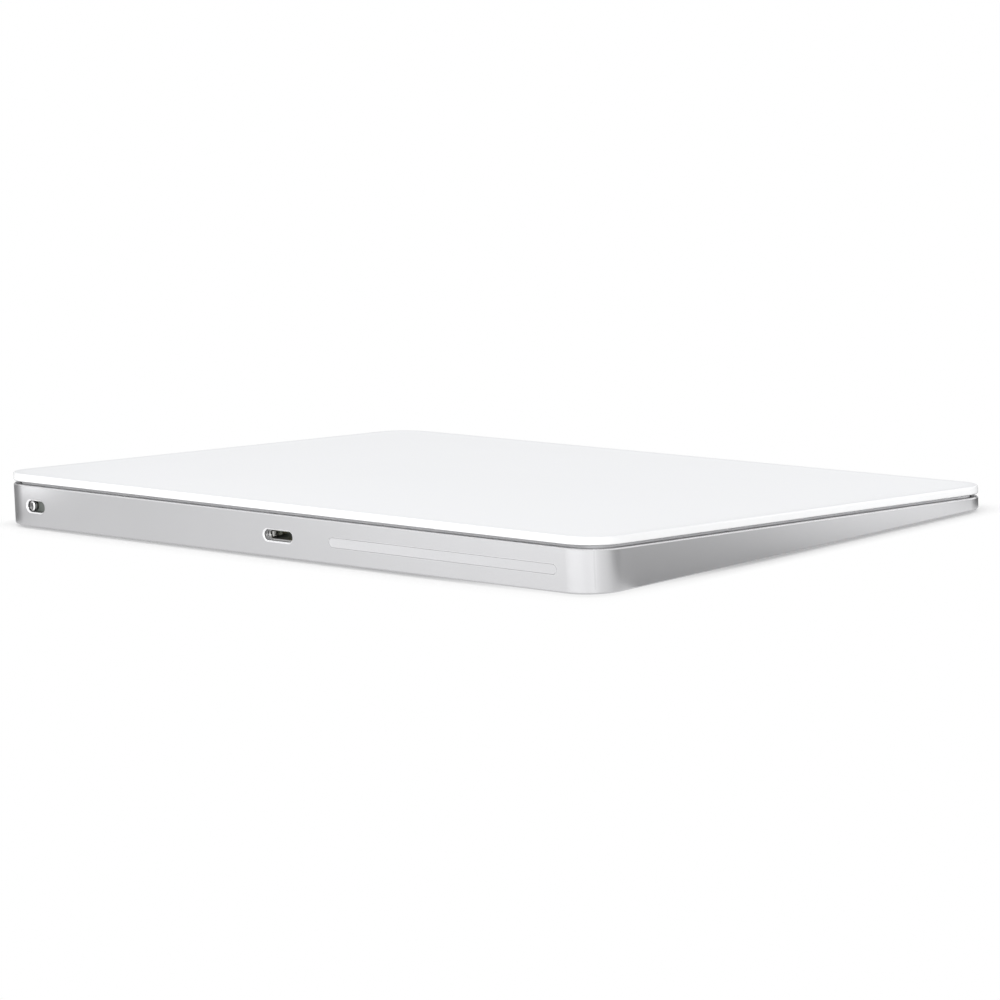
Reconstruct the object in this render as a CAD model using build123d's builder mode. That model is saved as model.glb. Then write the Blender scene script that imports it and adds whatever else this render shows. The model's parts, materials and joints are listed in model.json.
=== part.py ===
from build123d import *
import os
from math import atan2, cos, degrees, sin

# Trackpad: a wedge-shaped aluminium enclosure with a glass plate that floats on four force beams.
# X runs across the width, the user sits at -Y, the thick rear face is at +Y, and the feet stand on Z = 0.

# Outline of the body
width = 160.0
depth = 114.9
rear_height = 10.4
front_height = 4.4
corner_radius = 7.1
foot_height = 0.5

# Clearances shared by all pieces
seat_gap = 0.05
running_gap = 0.3
overrun = 1.0

# Glass plate and what is bonded under it, as thicknesses and as depths below the glass top
glass_thickness = 1.62
glass_edge_round = 0.3
carrier_thickness = 1.1
carrier_width = 3.0
carrier_edge_round = 0.2
sensor_board_thickness = 0.55
sensor_board_gap = 0.2
stiffener_thickness = 0.45
stiffener_margin = 0.25
attraction_plate_thickness = 0.6
attraction_plate_width = 44.0
attraction_plate_length = 26.0
attraction_plate_corner = 2.0
sensor_chip_size = 7.0
sensor_chip_thickness = 0.8
sensor_chip_spacing = 34.0
sensor_chip_y = -20.0
sensor_chip_window_gap = 1.0
plate_press_travel = 0.15
plate_shift_travel = 0.15
carrier_side_gap = 0.2

# Aluminium enclosure
rim_depth = 2.18
rim_width = 1.3
rim_chamfer = 0.25
rim_pocket_depth = 3.05
wall = 2.2
base_round = 0.35
web_thickness = 0.8
rib_width = 1.2
rib_x = 26.0
rib_length = 64.0
rib_board_gap = 3.9
rib_depth = 3.4
access_window_length = 12.0
access_window_width = 3.0
access_window_x = 31.0

# Bottom cover and feet
cover_thickness = 0.6
cover_glue = 0.12
cover_margin = 2.4
cover_seam = 0.15
cover_glue_width = 3.0
foot_diameter = 10.0
foot_recess = 0.3
foot_round = 0.2
foot_side_inset = 13.0
foot_end_inset = 11.45

# Screws, one size throughout
screw_head_diameter = 2.2
screw_head_height = 0.5
screw_head_round = 0.15
screw_shank_diameter = 1.2
screw_shank_length = 1.2
screw_drive_radius = 0.5
screw_drive_depth = 0.3
boss_diameter = 4.0
boss_hole_depth = 0.9

# Force beams
beam_wall_gap = 3.8
beam_length = 24.0
beam_width = 7.0
beam_front_inset = 21.25
beam_rear_inset = 12.25
beam_thickness = 0.6
beam_anchor_length = 8.0
beam_anchor_drop = 0.25
beam_waist_length = 8.0
beam_waist_notch = 1.3
beam_waist_cut = 0.25
beam_screw_hole_diameter = 1.7
beam_screw_spacing = 4.0
beam_pad_margin = 0.5
gauge_length = 4.0
gauge_width = 2.4
gauge_thickness = 0.08
gel_length = 5.5
gel_width = 5.0
gel_thickness = 0.25
gel_gap = 0.2
gel_corner = 0.8
beam_screw_sink = 0.4

# Haptic drive
haptic_board_gap = 10.9
haptic_base_width = 46.0
haptic_base_length = 30.0
haptic_base_corner = 2.5
haptic_web_gap = 0.23
haptic_base_share = 0.316
haptic_screw_inset = 2.8
core_width = 15.0
core_length = 18.0
core_yoke_share = 0.263
core_outer_leg = 2.0
core_centre_leg = 3.0
core_spacing = 21.0
coil_thickness = 1.9
coil_drop = 0.15

# Battery
cell_length = 33.5
cell_top_gap = 0.57
cell_board_gap = 2.0
cell_corner = 1.5
cell_edge_round = 0.5
cell_rib_gap = 1.6
cell_wall_gap = 2.0
terrace_length = 2.4
terrace_thickness = 0.5
tape_thickness = 0.1
tape_width = 8.0
tape_margin = 2.0
tape_spacing = 22.0
guard_board_length = 26.0
guard_flex_inset = 2.7
guard_board_thickness = 0.6
guard_chip_count = 3
guard_chip_pitch = 6.5
guard_chip_length = 3.0
guard_chip_width = 1.2
guard_chip_height = 0.6

# Main board
board_length = 10.5
board_beam_gap = 2.0
board_port_gap = 0.38
board_drop = 0.45
board_thickness = 0.7
board_corner = 1.0
board_boss_diameter = 3.6
board_screw_side_inset = 2.2
board_screw_middle_x = -4.0
board_screw_inset = 2.0
connector_length = 5.0
connector_width = 1.8
connector_height = 0.8
chip_edge_gap = 0.1
can_wall = 0.2
can_height = 1.2
can_corner = 0.6
flex_thickness = 0.15
flex_bend = 0.5
battery_flex_width = 3.0
switch_flex_width = 1.6

# Rear-face features lie on the middle line of the rear face
# Port
port_width = 7.6
port_height = 2.05
port_edge_chamfer = 0.24
port_lip_depth = 1.25
port_ring_end = 0.5
port_ring_side = 0.2
port_shell_wall = 0.4
port_shell_length = 6.5
port_tail_length = 0.7
port_plug_length = 1.3
contact_count = 8
contact_pitch = 0.62
contact_width = 0.36
contact_thickness = 0.14
contact_shelf_reach = 0.25
contact_shelf_thickness = 0.22
contact_front_inset = 2.4
contact_tail = 0.12
latch_spring_thickness = 0.2
latch_spring_height = 0.95
latch_spring_length = 2.6
latch_spring_bulge = 0.4
latch_front_inset = 0.3
latch_side_inset = 0.3
strap_thickness = 0.4
strap_length = 3.6
strap_front_gap = 2.2
strap_ear = 5.2
strap_bend = 0.3
strap_ear_drop = 0.15

# Power switch
slot_pocket_reach = 2.65
slot_length = 5.1
slot_height = 2.3
slot_edge_chamfer = 0.2
slot_lip = 1.2
knob_width = 1.4
knob_height = 1.9
knob_gap = 0.3
knob_edge = 0.2
knob_sink = 0.35
slider_height = 3.2
slider_thickness = 0.6
slider_overlap = 0.45
slider_corner = 0.6
slider_pin_width = 1.0
slider_pin_height = 1.0
slider_pin_length = 0.9
switch_body_width = 8.4
switch_web_gap = 0.73
switch_body_depth = 3.05
switch_body_shift = 1.0
switch_bracket_thickness = 0.4
switch_bracket_foot = 4.4
switch_bracket_width = 13.0
switch_bracket_shift = 2.1
switch_screw_spacing = 9.6

# Antenna window
window_corner_gap = 2.05
window_length = 57.2
window_height = 1.9
window_flange = 0.9
window_flange_thickness = 0.8
antenna_film_thickness = 0.2
antenna_film_margin = 1.5

# Levels and places worked out from the sizes above
slope = atan2(rear_height - front_height, depth)
slope_sine = sin(slope)
slope_cosine = cos(slope)
base_z = foot_height
body_top = base_z + rear_height
web_bottom = base_z + cover_thickness + cover_glue
web_top = web_bottom + web_thickness
rear_y = depth / 2
carrier_gap = plate_shift_travel + carrier_side_gap
window_x = window_corner_gap + corner_radius + window_length / 2 - width / 2
rear_line_z = base_z + (rear_height - rim_depth) / 2
middle_top_z = base_z + (rear_height + front_height) / 2
carrier_inset = rim_width + carrier_gap
sensor_board_inset = carrier_inset + carrier_width + sensor_board_gap
carrier_bottom_depth = glass_thickness + carrier_thickness
sensor_board_depth = glass_thickness + sensor_board_thickness
stiffener_depth = sensor_board_depth + stiffener_thickness
attraction_depth = stiffener_depth + attraction_plate_thickness
gel_top_depth = stiffener_depth + gel_gap
beam_top_depth = gel_top_depth + gel_thickness
beam_bottom_depth = beam_top_depth + beam_thickness
beam_pad_depth = beam_bottom_depth + beam_anchor_drop + running_gap
core_top_depth = attraction_depth + plate_press_travel + running_gap
top_plane = Plane(
    origin=(0, 0, middle_top_z),
    x_dir=(1, 0, 0),
    z_dir=(0, -slope_sine, slope_cosine),
)
plate_normal = Axis((0, 0, 0), top_plane.z_dir)


def depth_plane(depth_below):
    """Plane parallel to the glass top, the given depth below it."""
    return top_plane.offset(-depth_below)


def rear_plane(inward):
    """Plane parallel to the rear face on its middle line, the given distance inside it, facing inward."""
    return Plane(
        origin=(0, rear_y - inward, rear_line_z),
        x_dir=(1, 0, 0),
        z_dir=(0, -1, 0),
    )


def plan_y(sloped_y, at_depth):
    """Y in the plan of a point given in the sloped plane at a depth below the glass top."""
    return sloped_y * slope_cosine + at_depth * slope_sine


def sloped_plate(inset, upper_depth, lower_depth):
    """Plate between two depths below the glass top, its outline drawn in from the body's by inset."""
    with BuildPart() as plate:
        with BuildSketch(Plane.XY):
            RectangleRounded(width - 2 * inset, depth - 2 * inset, corner_radius - inset)
        extrude(amount=body_top + overrun)
        split(bisect_by=depth_plane(upper_depth), keep=Keep.BOTTOM)
        split(bisect_by=depth_plane(lower_depth), keep=Keep.TOP)
    return plate.part


def standing_to_depth(outline, top_depth):
    """Posts on the enclosure's web with the given plan outline, cut off at a depth below the glass top."""
    with BuildPart() as posts:
        with BuildSketch(Plane.XY.offset(web_bottom)):
            add(outline)
        extrude(amount=body_top)
        split(bisect_by=depth_plane(top_depth), keep=Keep.BOTTOM)
    return posts.part


def above_depth(outline, floor_depth):
    """Cutter with the given plan outline that reaches from a depth below the glass top upwards."""
    with BuildPart() as cutter:
        with BuildSketch(Plane.XY):
            add(outline)
        extrude(amount=body_top + overrun)
        split(bisect_by=depth_plane(floor_depth), keep=Keep.TOP)
    return cutter.part


def screw_set(seat, places, shank_length):
    """Pan-head screws, one solid each, with the flat of the head on the seat plane."""
    head_top = seat.offset(screw_head_height)
    with BuildPart() as screws:
        with BuildSketch(seat):
            with Locations(*places):
                Circle(screw_head_diameter / 2)
        extrude(amount=screw_head_height)
        fillet(screws.faces().group_by(Axis((0, 0, 0), seat.z_dir))[-1].edges(), screw_head_round)
        with BuildSketch(seat):
            with Locations(*places):
                Circle(screw_shank_diameter / 2)
        extrude(amount=-shank_length)
        with BuildSketch(head_top):
            with Locations(*places):
                RegularPolygon(screw_drive_radius, 6)
        extrude(amount=-screw_drive_depth, mode=Mode.SUBTRACT)
    return screws.part


def flex_strip(side_plane, path, strip_width):
    """Thin flexible circuit whose side view follows the path in the given plane."""
    with BuildPart() as strip:
        with BuildSketch(side_plane):
            with BuildLine():
                FilletPolyline(*path, radius=flex_bend)
            trace(line_width=flex_thickness)
        extrude(amount=strip_width / 2, both=True)
    return strip.part


# Port levels
port_cavity_width = port_width - 2 * port_ring_end
port_cavity_height = port_height - 2 * port_ring_side
port_shell_width = port_cavity_width + 2 * port_shell_wall
port_shell_height = port_cavity_height + 2 * port_shell_wall
strap_inner_half = port_shell_width / 2 + seat_gap
strap_line_x = strap_inner_half + strap_thickness / 2
strap_top_z = port_shell_height / 2 + seat_gap + strap_thickness / 2
strap_seat_z = rear_line_z - port_shell_height / 2 - strap_ear_drop
strap_ear_z = strap_seat_z + strap_thickness / 2 - rear_line_z
strap_y = rear_y - port_lip_depth - strap_front_gap - strap_length / 2
port_screw_places = [(side * (strap_line_x + strap_ear / 2), strap_y) for side in (-1, 1)]
port_tail_y = rear_y - port_lip_depth - port_shell_length - port_tail_length
port_flex_y = port_tail_y - contact_tail - flex_thickness / 2

# Main board place: behind the port's tail and between the beams
board_rear_y = port_flex_y - flex_thickness / 2 - board_port_gap
board_front_y = board_rear_y - board_length
board_y = (board_rear_y + board_front_y) / 2
board_top = rear_line_z - board_drop
board_bottom = board_top - board_thickness
connector_top = board_top + connector_height
flex_on_connector = connector_top + flex_thickness / 2
haptic_y = board_front_y - haptic_board_gap - haptic_base_length / 2
rib_y = board_front_y - rib_board_gap - rib_length / 2

# Haptic drive levels: its base, yokes and legs share the room between the attraction plate and the web
haptic_front_z = middle_top_z + slope_sine * (haptic_y - haptic_base_length / 2)
haptic_base_bottom_depth = (haptic_front_z - web_top - haptic_web_gap) / slope_cosine
haptic_room = haptic_base_bottom_depth - core_top_depth
haptic_base_thickness = haptic_base_share * haptic_room
core_yoke = core_yoke_share * haptic_room
core_leg_height = haptic_room - haptic_base_thickness - core_yoke
coil_height = core_leg_height - coil_drop
haptic_base_top_depth = haptic_base_bottom_depth - haptic_base_thickness

# Places of screws
beam_x = width / 2 - wall - beam_wall_gap - beam_length / 2
beam_front_y = wall + beam_front_inset - rear_y
beam_rear_y = rear_y - wall - beam_rear_inset
beam_rows = (beam_front_y, beam_rear_y)
beam_anchor_x = beam_x + (beam_length - beam_anchor_length) / 2
beam_tip_x = beam_x - (beam_length - gel_length) / 2 + beam_pad_margin
beam_screw_places = [
    (side * beam_anchor_x, plan_y(row, beam_pad_depth) + step * beam_screw_spacing / 2)
    for side in (-1, 1)
    for row in beam_rows
    for step in (-1, 1)
]
haptic_screw_places = [
    (
        side * (haptic_base_width / 2 - haptic_screw_inset),
        haptic_y + end * (haptic_base_length / 2 - haptic_screw_inset),
    )
    for side in (-1, 1)
    for end in (-1, 1)
]
board_width = 2 * (beam_x - beam_length / 2 - board_beam_gap)
board_screw_row = board_front_y + board_screw_inset
board_screw_x = board_width / 2 - board_screw_side_inset
board_screw_columns = (-board_screw_x, board_screw_middle_x, board_screw_x)
board_screw_places = [(column, board_screw_row) for column in board_screw_columns]

# Switch levels
knob_travel = slot_length - knob_width - 2 * knob_gap
slider_length = 2 * (slot_length - knob_gap - knob_width / 2 + slider_overlap)
slot_pocket_end = width / 2 - corner_radius + slot_pocket_reach
knob_x = slot_pocket_end - running_gap - slider_length / 2
slot_x = knob_x + knob_width / 2 + knob_gap - slot_length / 2
slider_front = slot_lip + running_gap
switch_body_front = slider_front + slider_thickness + running_gap
switch_body_x = slot_x - switch_body_shift
switch_bracket_front = switch_body_front + switch_body_depth
switch_bracket_x = slot_x - switch_bracket_shift
switch_screw_y = rear_y - switch_bracket_front - switch_bracket_foot / 2
switch_screw_places = [
    (switch_bracket_x + side * switch_screw_spacing / 2, switch_screw_y) for side in (-1, 1)
]
switch_body_height = 2 * (rear_line_z - web_top - switch_web_gap)
switch_seat_z = web_top + switch_web_gap + seat_gap

# Battery places
cell_inner_x = rib_x + rib_width / 2 + cell_rib_gap
cell_width = width / 2 - wall - cell_wall_gap - cell_inner_x
cell_x = cell_inner_x + cell_width / 2
cell_rear_y = board_front_y - cell_board_gap - terrace_length
cell_y = cell_rear_y - cell_length / 2
cell_bottom = web_top + tape_thickness
cell_ceiling = middle_top_z + (cell_rear_y - cell_length) * slope_sine - stiffener_depth * slope_cosine
cell_thickness = cell_ceiling - cell_top_gap - cell_bottom

# Places across the board as shares of its half width, and along it as shares of its half length
connector_x_shares = (-0.83, -0.8, -0.29, 0.0, 0.125, 0.8, 0.92)
connector_y_shares = (0.55, -0.5, -0.5, 0.4, -0.5, -0.5, 0.55)
connector_places = [
    (x_share * board_width / 2, board_y + y_share * board_length / 2)
    for x_share, y_share in zip(connector_x_shares, connector_y_shares)
]
antenna_socket, _, sensor_socket, port_socket, haptic_socket, battery_socket, switch_socket = connector_places
guard_board_x = battery_socket[0] + guard_board_length / 2 - guard_flex_inset

# Cutters and posts that the enclosure takes in
with BuildSketch() as bay_outline:
    RectangleRounded(width - 2 * rim_width, depth - 2 * rim_width, corner_radius - rim_width)
rim_pocket = above_depth(bay_outline.sketch, rim_pocket_depth)

with BuildSketch() as beam_pad_outline:
    pad_reach = width / 2 - wall / 2 - beam_anchor_x + beam_anchor_length / 2 + beam_pad_margin
    for side in (-1, 1):
        for row in beam_rows:
            pad_x = side * (width / 2 - wall / 2 - pad_reach / 2)
            with Locations((pad_x, plan_y(row, beam_pad_depth))):
                Rectangle(pad_reach, beam_width + 2 * beam_pad_margin)
beam_pads = standing_to_depth(beam_pad_outline.sketch, beam_pad_depth)

with BuildSketch() as beam_shadow:
    for side in (-1, 1):
        for row in beam_rows:
            with Locations((side * beam_x, plan_y(row, beam_pad_depth))):
                Rectangle(beam_length + 2 * beam_pad_margin, beam_width + 2 * beam_pad_margin)
beam_room = above_depth(beam_shadow.sketch, beam_pad_depth)

with BuildSketch() as haptic_post_outline:
    for place_x, place_y in haptic_screw_places:
        with Locations((place_x, plan_y(place_y, haptic_base_bottom_depth))):
            Circle(boss_diameter / 2)
haptic_posts = standing_to_depth(haptic_post_outline.sketch, haptic_base_bottom_depth)

with BuildSketch() as rib_outline:
    with Locations((-rib_x, rib_y), (rib_x, rib_y)):
        Rectangle(rib_width, rib_length)
ribs = standing_to_depth(rib_outline.sketch, rib_depth)

# Enclosure: a wedge with a rim for the glass, a low web inside, and openings in the rear wall
with BuildPart() as enclosure:
    with BuildSketch(Plane.XY.offset(base_z)):
        RectangleRounded(width, depth, corner_radius)
    extrude(amount=rear_height)
    split(bisect_by=depth_plane(rim_depth), keep=Keep.BOTTOM)
    chamfer(enclosure.faces().sort_by(Axis.Z)[-1].edges(), rim_chamfer)
    fillet(enclosure.faces().sort_by(Axis.Z)[0].edges(), base_round)

    # Step that takes the carrier frame, then the bay down to the web
    add(rim_pocket, mode=Mode.SUBTRACT)
    with BuildSketch(Plane.XY.offset(web_top)):
        RectangleRounded(width - 2 * wall, depth - 2 * wall, corner_radius - wall)
    extrude(amount=body_top, mode=Mode.SUBTRACT)

    # Recess for the bottom cover
    with BuildSketch(Plane.XY.offset(base_z)):
        RectangleRounded(width - 2 * cover_margin, depth - 2 * cover_margin, corner_radius - cover_margin)
    extrude(amount=cover_thickness + cover_glue, mode=Mode.SUBTRACT)

    # Pads, posts and ribs on the web
    add(beam_pads)
    add(beam_room, mode=Mode.SUBTRACT)
    add(haptic_posts)
    add(ribs)
    with BuildSketch(Plane.XY.offset(web_top)):
        with Locations(*board_screw_places):
            Circle(board_boss_diameter / 2)
    extrude(amount=board_bottom - web_top)
    with BuildSketch(Plane.XY.offset(web_top)):
        with Locations(*port_screw_places):
            Circle(boss_diameter / 2)
    extrude(amount=strap_seat_z - web_top)
    with BuildSketch(Plane.XY.offset(web_top)):
        with Locations(*switch_screw_places):
            Circle(boss_diameter / 2)
    extrude(amount=switch_seat_z - web_top)

    # Cradle under the port shell
    cradle_top = rear_line_z - port_shell_height / 2 - seat_gap
    cradle_rear = rear_y - wall
    cradle_front = strap_y - strap_length / 2
    with BuildSketch(Plane.XY.offset(web_top)):
        with Locations((0, (cradle_rear + cradle_front) / 2)):
            Rectangle(port_cavity_width, cradle_rear - cradle_front)
    extrude(amount=cradle_top - web_top)

    # Tapped holes
    with BuildSketch(depth_plane(haptic_base_bottom_depth)):
        with Locations(*haptic_screw_places):
            Circle(screw_shank_diameter / 2 + seat_gap)
    extrude(amount=-boss_hole_depth, mode=Mode.SUBTRACT)
    with BuildSketch(Plane.XY.offset(board_bottom)):
        with Locations(*board_screw_places):
            Circle(screw_shank_diameter / 2 + seat_gap)
    extrude(amount=-boss_hole_depth, mode=Mode.SUBTRACT)
    with BuildSketch(Plane.XY.offset(strap_seat_z)):
        with Locations(*port_screw_places):
            Circle(screw_shank_diameter / 2 + seat_gap)
    extrude(amount=-boss_hole_depth, mode=Mode.SUBTRACT)
    with BuildSketch(Plane.XY.offset(switch_seat_z)):
        with Locations(*switch_screw_places):
            Circle(screw_shank_diameter / 2 + seat_gap)
    extrude(amount=-boss_hole_depth, mode=Mode.SUBTRACT)

    # Through holes for the beam screws, sunk from below
    with BuildSketch(Plane.XY.offset(web_bottom)):
        with Locations(*beam_screw_places):
            Circle(beam_screw_hole_diameter / 2)
    extrude(amount=body_top, mode=Mode.SUBTRACT)
    with BuildSketch(Plane.XY.offset(web_bottom)):
        with Locations(*beam_screw_places):
            Circle(screw_head_diameter / 2 + 2 * seat_gap)
    extrude(amount=beam_screw_sink, mode=Mode.SUBTRACT)

    # Access windows under the main board
    with BuildSketch(Plane.XY.offset(web_bottom)):
        with Locations((-access_window_x, board_y), (access_window_x, board_y)):
            SlotOverall(access_window_length, access_window_width)
    extrude(amount=web_thickness, mode=Mode.SUBTRACT)

    # Port opening and the step behind it for the shell
    with BuildSketch(rear_plane(0)):
        SlotOverall(port_width, port_height)
    extrude(amount=wall, mode=Mode.SUBTRACT)
    with BuildSketch(rear_plane(port_lip_depth)):
        SlotOverall(port_shell_width + 2 * seat_gap, port_shell_height + 2 * seat_gap)
    extrude(amount=wall, mode=Mode.SUBTRACT)

    # Switch slot and the pocket behind it for the slider
    with BuildSketch(rear_plane(0)):
        with Locations((slot_x, 0)):
            SlotOverall(slot_length, slot_height)
    extrude(amount=wall, mode=Mode.SUBTRACT)
    pocket_length = slider_length + knob_travel + 2 * running_gap
    with BuildSketch(rear_plane(slot_lip)):
        with Locations((knob_x - knob_travel / 2, 0)):
            RectangleRounded(pocket_length, slider_height + 2 * running_gap, slider_corner)
    extrude(amount=slider_thickness + 2 * running_gap + wall, mode=Mode.SUBTRACT)

    # Antenna window opening and the step for its flange
    with BuildSketch(rear_plane(0)):
        with Locations((window_x, 0)):
            SlotOverall(window_length, window_height)
    extrude(amount=wall, mode=Mode.SUBTRACT)
    with BuildSketch(rear_plane(wall - window_flange_thickness)):
        with Locations((window_x, 0)):
            SlotOverall(
                window_length + 2 * window_flange + 2 * seat_gap,
                window_height + 2 * window_flange + 2 * seat_gap,
            )
    extrude(amount=wall, mode=Mode.SUBTRACT)

    # Fine chamfers round the port and the slot
    rear_face = enclosure.faces().filter_by(Axis.Y).sort_by(Axis.Y)[-1]
    port_loop, slot_loop = rear_face.inner_wires().sort_by(Axis.X)[1:]
    chamfer(port_loop.edges(), port_edge_chamfer)
    chamfer(slot_loop.edges(), slot_edge_chamfer)

# Antenna window: a plastic insert, flush outside, with a flange inside the wall
with BuildPart() as antenna_window:
    with BuildSketch(rear_plane(0)):
        with Locations((window_x, 0)):
            SlotOverall(window_length - 2 * seat_gap, window_height - 2 * seat_gap)
    extrude(amount=wall)
    with BuildSketch(rear_plane(wall - window_flange_thickness)):
        with Locations((window_x, 0)):
            SlotOverall(window_length + 2 * window_flange, window_height + 2 * window_flange)
    extrude(amount=window_flange_thickness)

# Antenna film on the inside of the window
with BuildPart() as antenna_film:
    with BuildSketch(rear_plane(wall)):
        with Locations((window_x, 0)):
            RectangleRounded(window_length - 2 * antenna_film_margin, window_height, window_height / 4)
    extrude(amount=antenna_film_thickness)

# Bottom cover with four round recesses for the feet
foot_x = width / 2 - foot_side_inset
foot_y = depth / 2 - foot_end_inset
foot_places = [(side * foot_x, end * foot_y) for side in (-1, 1) for end in (-1, 1)]
with BuildPart() as bottom_cover:
    cover_inset = cover_margin + cover_seam
    with BuildSketch(Plane.XY.offset(base_z)):
        RectangleRounded(width - 2 * cover_inset, depth - 2 * cover_inset, corner_radius - cover_inset)
    extrude(amount=cover_thickness)
    with BuildSketch(Plane.XY.offset(base_z)):
        with Locations(*foot_places):
            Circle(foot_diameter / 2 + seat_gap)
    extrude(amount=foot_recess, mode=Mode.SUBTRACT)

# Adhesive ring between the cover and the web
with BuildPart() as cover_adhesive:
    with BuildSketch(Plane.XY.offset(base_z + cover_thickness)):
        RectangleRounded(width - 2 * cover_inset, depth - 2 * cover_inset, corner_radius - cover_inset)
        ring_inset = cover_inset + cover_glue_width
        RectangleRounded(
            width - 2 * ring_inset,
            depth - 2 * ring_inset,
            corner_radius - cover_inset,
            mode=Mode.SUBTRACT,
        )
    extrude(amount=cover_glue)

# Four soft feet
with BuildPart() as feet:
    with BuildSketch(Plane.XY):
        with Locations(*foot_places):
            Circle(foot_diameter / 2)
    extrude(amount=foot_height + foot_recess)
    fillet(feet.faces().group_by(Axis.Z)[0].edges(), foot_round)

# Glass plate
glass_blank = sloped_plate(0, 0, glass_thickness)
with BuildPart() as glass_plate:
    add(glass_blank)
    fillet(glass_plate.faces().filter_by(top_plane).edges(), glass_edge_round)

# Carrier frame bonded under the edge of the glass
carrier_outer = sloped_plate(carrier_inset, glass_thickness, carrier_bottom_depth)
carrier_inner = sloped_plate(carrier_inset + carrier_width, 0, carrier_bottom_depth + overrun)
with BuildPart() as carrier_frame:
    add(carrier_outer)
    chamfer(carrier_frame.faces().group_by(plate_normal)[0].edges(), carrier_edge_round)
    add(carrier_inner, mode=Mode.SUBTRACT)

# Touch sensor board inside the frame
sensor_board_blank = sloped_plate(sensor_board_inset, glass_thickness, sensor_board_depth)
with BuildPart() as sensor_board:
    add(sensor_board_blank)

# Stiffener plate with two windows for the sensor chips
stiffener_blank = sloped_plate(sensor_board_inset + stiffener_margin, sensor_board_depth, stiffener_depth)
chip_places = [(-sensor_chip_spacing / 2, sensor_chip_y), (sensor_chip_spacing / 2, sensor_chip_y)]
with BuildPart() as stiffener_plate:
    add(stiffener_blank)
    with BuildSketch(depth_plane(stiffener_depth)):
        with Locations(*chip_places):
            window_size = sensor_chip_size + 2 * sensor_chip_window_gap
            RectangleRounded(window_size, window_size, sensor_chip_window_gap)
    extrude(amount=stiffener_thickness, mode=Mode.SUBTRACT)

# Sensor chips on the underside of the sensor board
with BuildPart() as sensor_chips:
    with BuildSketch(depth_plane(sensor_board_depth)):
        with Locations(*chip_places):
            Rectangle(sensor_chip_size, sensor_chip_size)
    extrude(amount=-sensor_chip_thickness)
    chamfer(sensor_chips.faces().group_by(plate_normal)[0].edges(), chip_edge_gap)

# Soft iron plate that the haptic drive pulls on
with BuildPart() as attraction_plate:
    with BuildSketch(depth_plane(stiffener_depth)):
        with Locations((0, haptic_y)):
            RectangleRounded(attraction_plate_width, attraction_plate_length, attraction_plate_corner)
    extrude(amount=-attraction_plate_thickness)

# Force beams: wide anchor, waisted flexure, wide tip, one at each corner
with BuildPart() as force_beams:
    with BuildSketch(depth_plane(beam_bottom_depth)):
        with Locations(*[(beam_x, row) for row in beam_rows]):
            Rectangle(beam_length, beam_width)
            with Locations((0, beam_width / 2), (0, -beam_width / 2)):
                SlotOverall(beam_waist_length, 2 * beam_waist_notch, mode=Mode.SUBTRACT)
    extrude(amount=beam_thickness)
    with BuildSketch(depth_plane(beam_bottom_depth)):
        with Locations(*[(beam_anchor_x, row) for row in beam_rows]):
            Rectangle(beam_anchor_length, beam_width)
    extrude(amount=-beam_anchor_drop)
    with BuildSketch(depth_plane(beam_top_depth)):
        with Locations(*[(beam_x, row) for row in beam_rows]):
            Rectangle(beam_waist_length, beam_width)
    extrude(amount=-beam_waist_cut, mode=Mode.SUBTRACT)
    with BuildSketch(depth_plane(beam_top_depth)):
        with Locations(*[(beam_anchor_x, row) for row in beam_rows]):
            with Locations((0, beam_screw_spacing / 2), (0, -beam_screw_spacing / 2)):
                Circle(beam_screw_hole_diameter / 2)
    extrude(amount=-(beam_thickness + beam_anchor_drop), mode=Mode.SUBTRACT)
    mirror(about=Plane.YZ)

# Strain gauges on the flexures
with BuildPart() as strain_gauges:
    with BuildSketch(depth_plane(beam_top_depth + beam_waist_cut)):
        with Locations(*[(side * beam_x, row) for side in (-1, 1) for row in beam_rows]):
            Rectangle(gauge_length, gauge_width)
    extrude(amount=gauge_thickness)

# Gel pads on the beam tips, which let the plate shift sideways
with BuildPart() as gel_pads:
    with BuildSketch(depth_plane(beam_top_depth)):
        with Locations(*[(side * beam_tip_x, row) for side in (-1, 1) for row in beam_rows]):
            RectangleRounded(gel_length, gel_width, gel_corner)
    extrude(amount=gel_thickness)

# Screws that hold the beams, put in from below
beam_screw_seat = Plane(origin=(0, 0, web_bottom + beam_screw_sink), x_dir=(1, 0, 0), z_dir=(0, 0, -1))
front_beam_shank = (
    middle_top_z + beam_front_y * slope_sine - beam_top_depth * slope_cosine - web_bottom - beam_screw_sink
)
rear_beam_shank = (
    middle_top_z + beam_rear_y * slope_sine - beam_top_depth * slope_cosine - web_bottom - beam_screw_sink
)
front_beam_screws = screw_set(
    beam_screw_seat,
    [(place_x, -place_y) for place_x, place_y in beam_screw_places if place_y < 0],
    front_beam_shank,
)
rear_beam_screws = screw_set(
    beam_screw_seat,
    [(place_x, -place_y) for place_x, place_y in beam_screw_places if place_y > 0],
    rear_beam_shank,
)
with BuildPart() as beam_screws:
    add(front_beam_screws)
    add(rear_beam_screws)

# Haptic drive
with BuildPart() as haptic_base:
    with BuildSketch(depth_plane(haptic_base_bottom_depth)):
        with Locations((0, haptic_y)):
            RectangleRounded(haptic_base_width, haptic_base_length, haptic_base_corner)
        with Locations(*haptic_screw_places):
            Circle(screw_shank_diameter / 2 + seat_gap, mode=Mode.SUBTRACT)
    extrude(amount=haptic_base_thickness)

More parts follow.
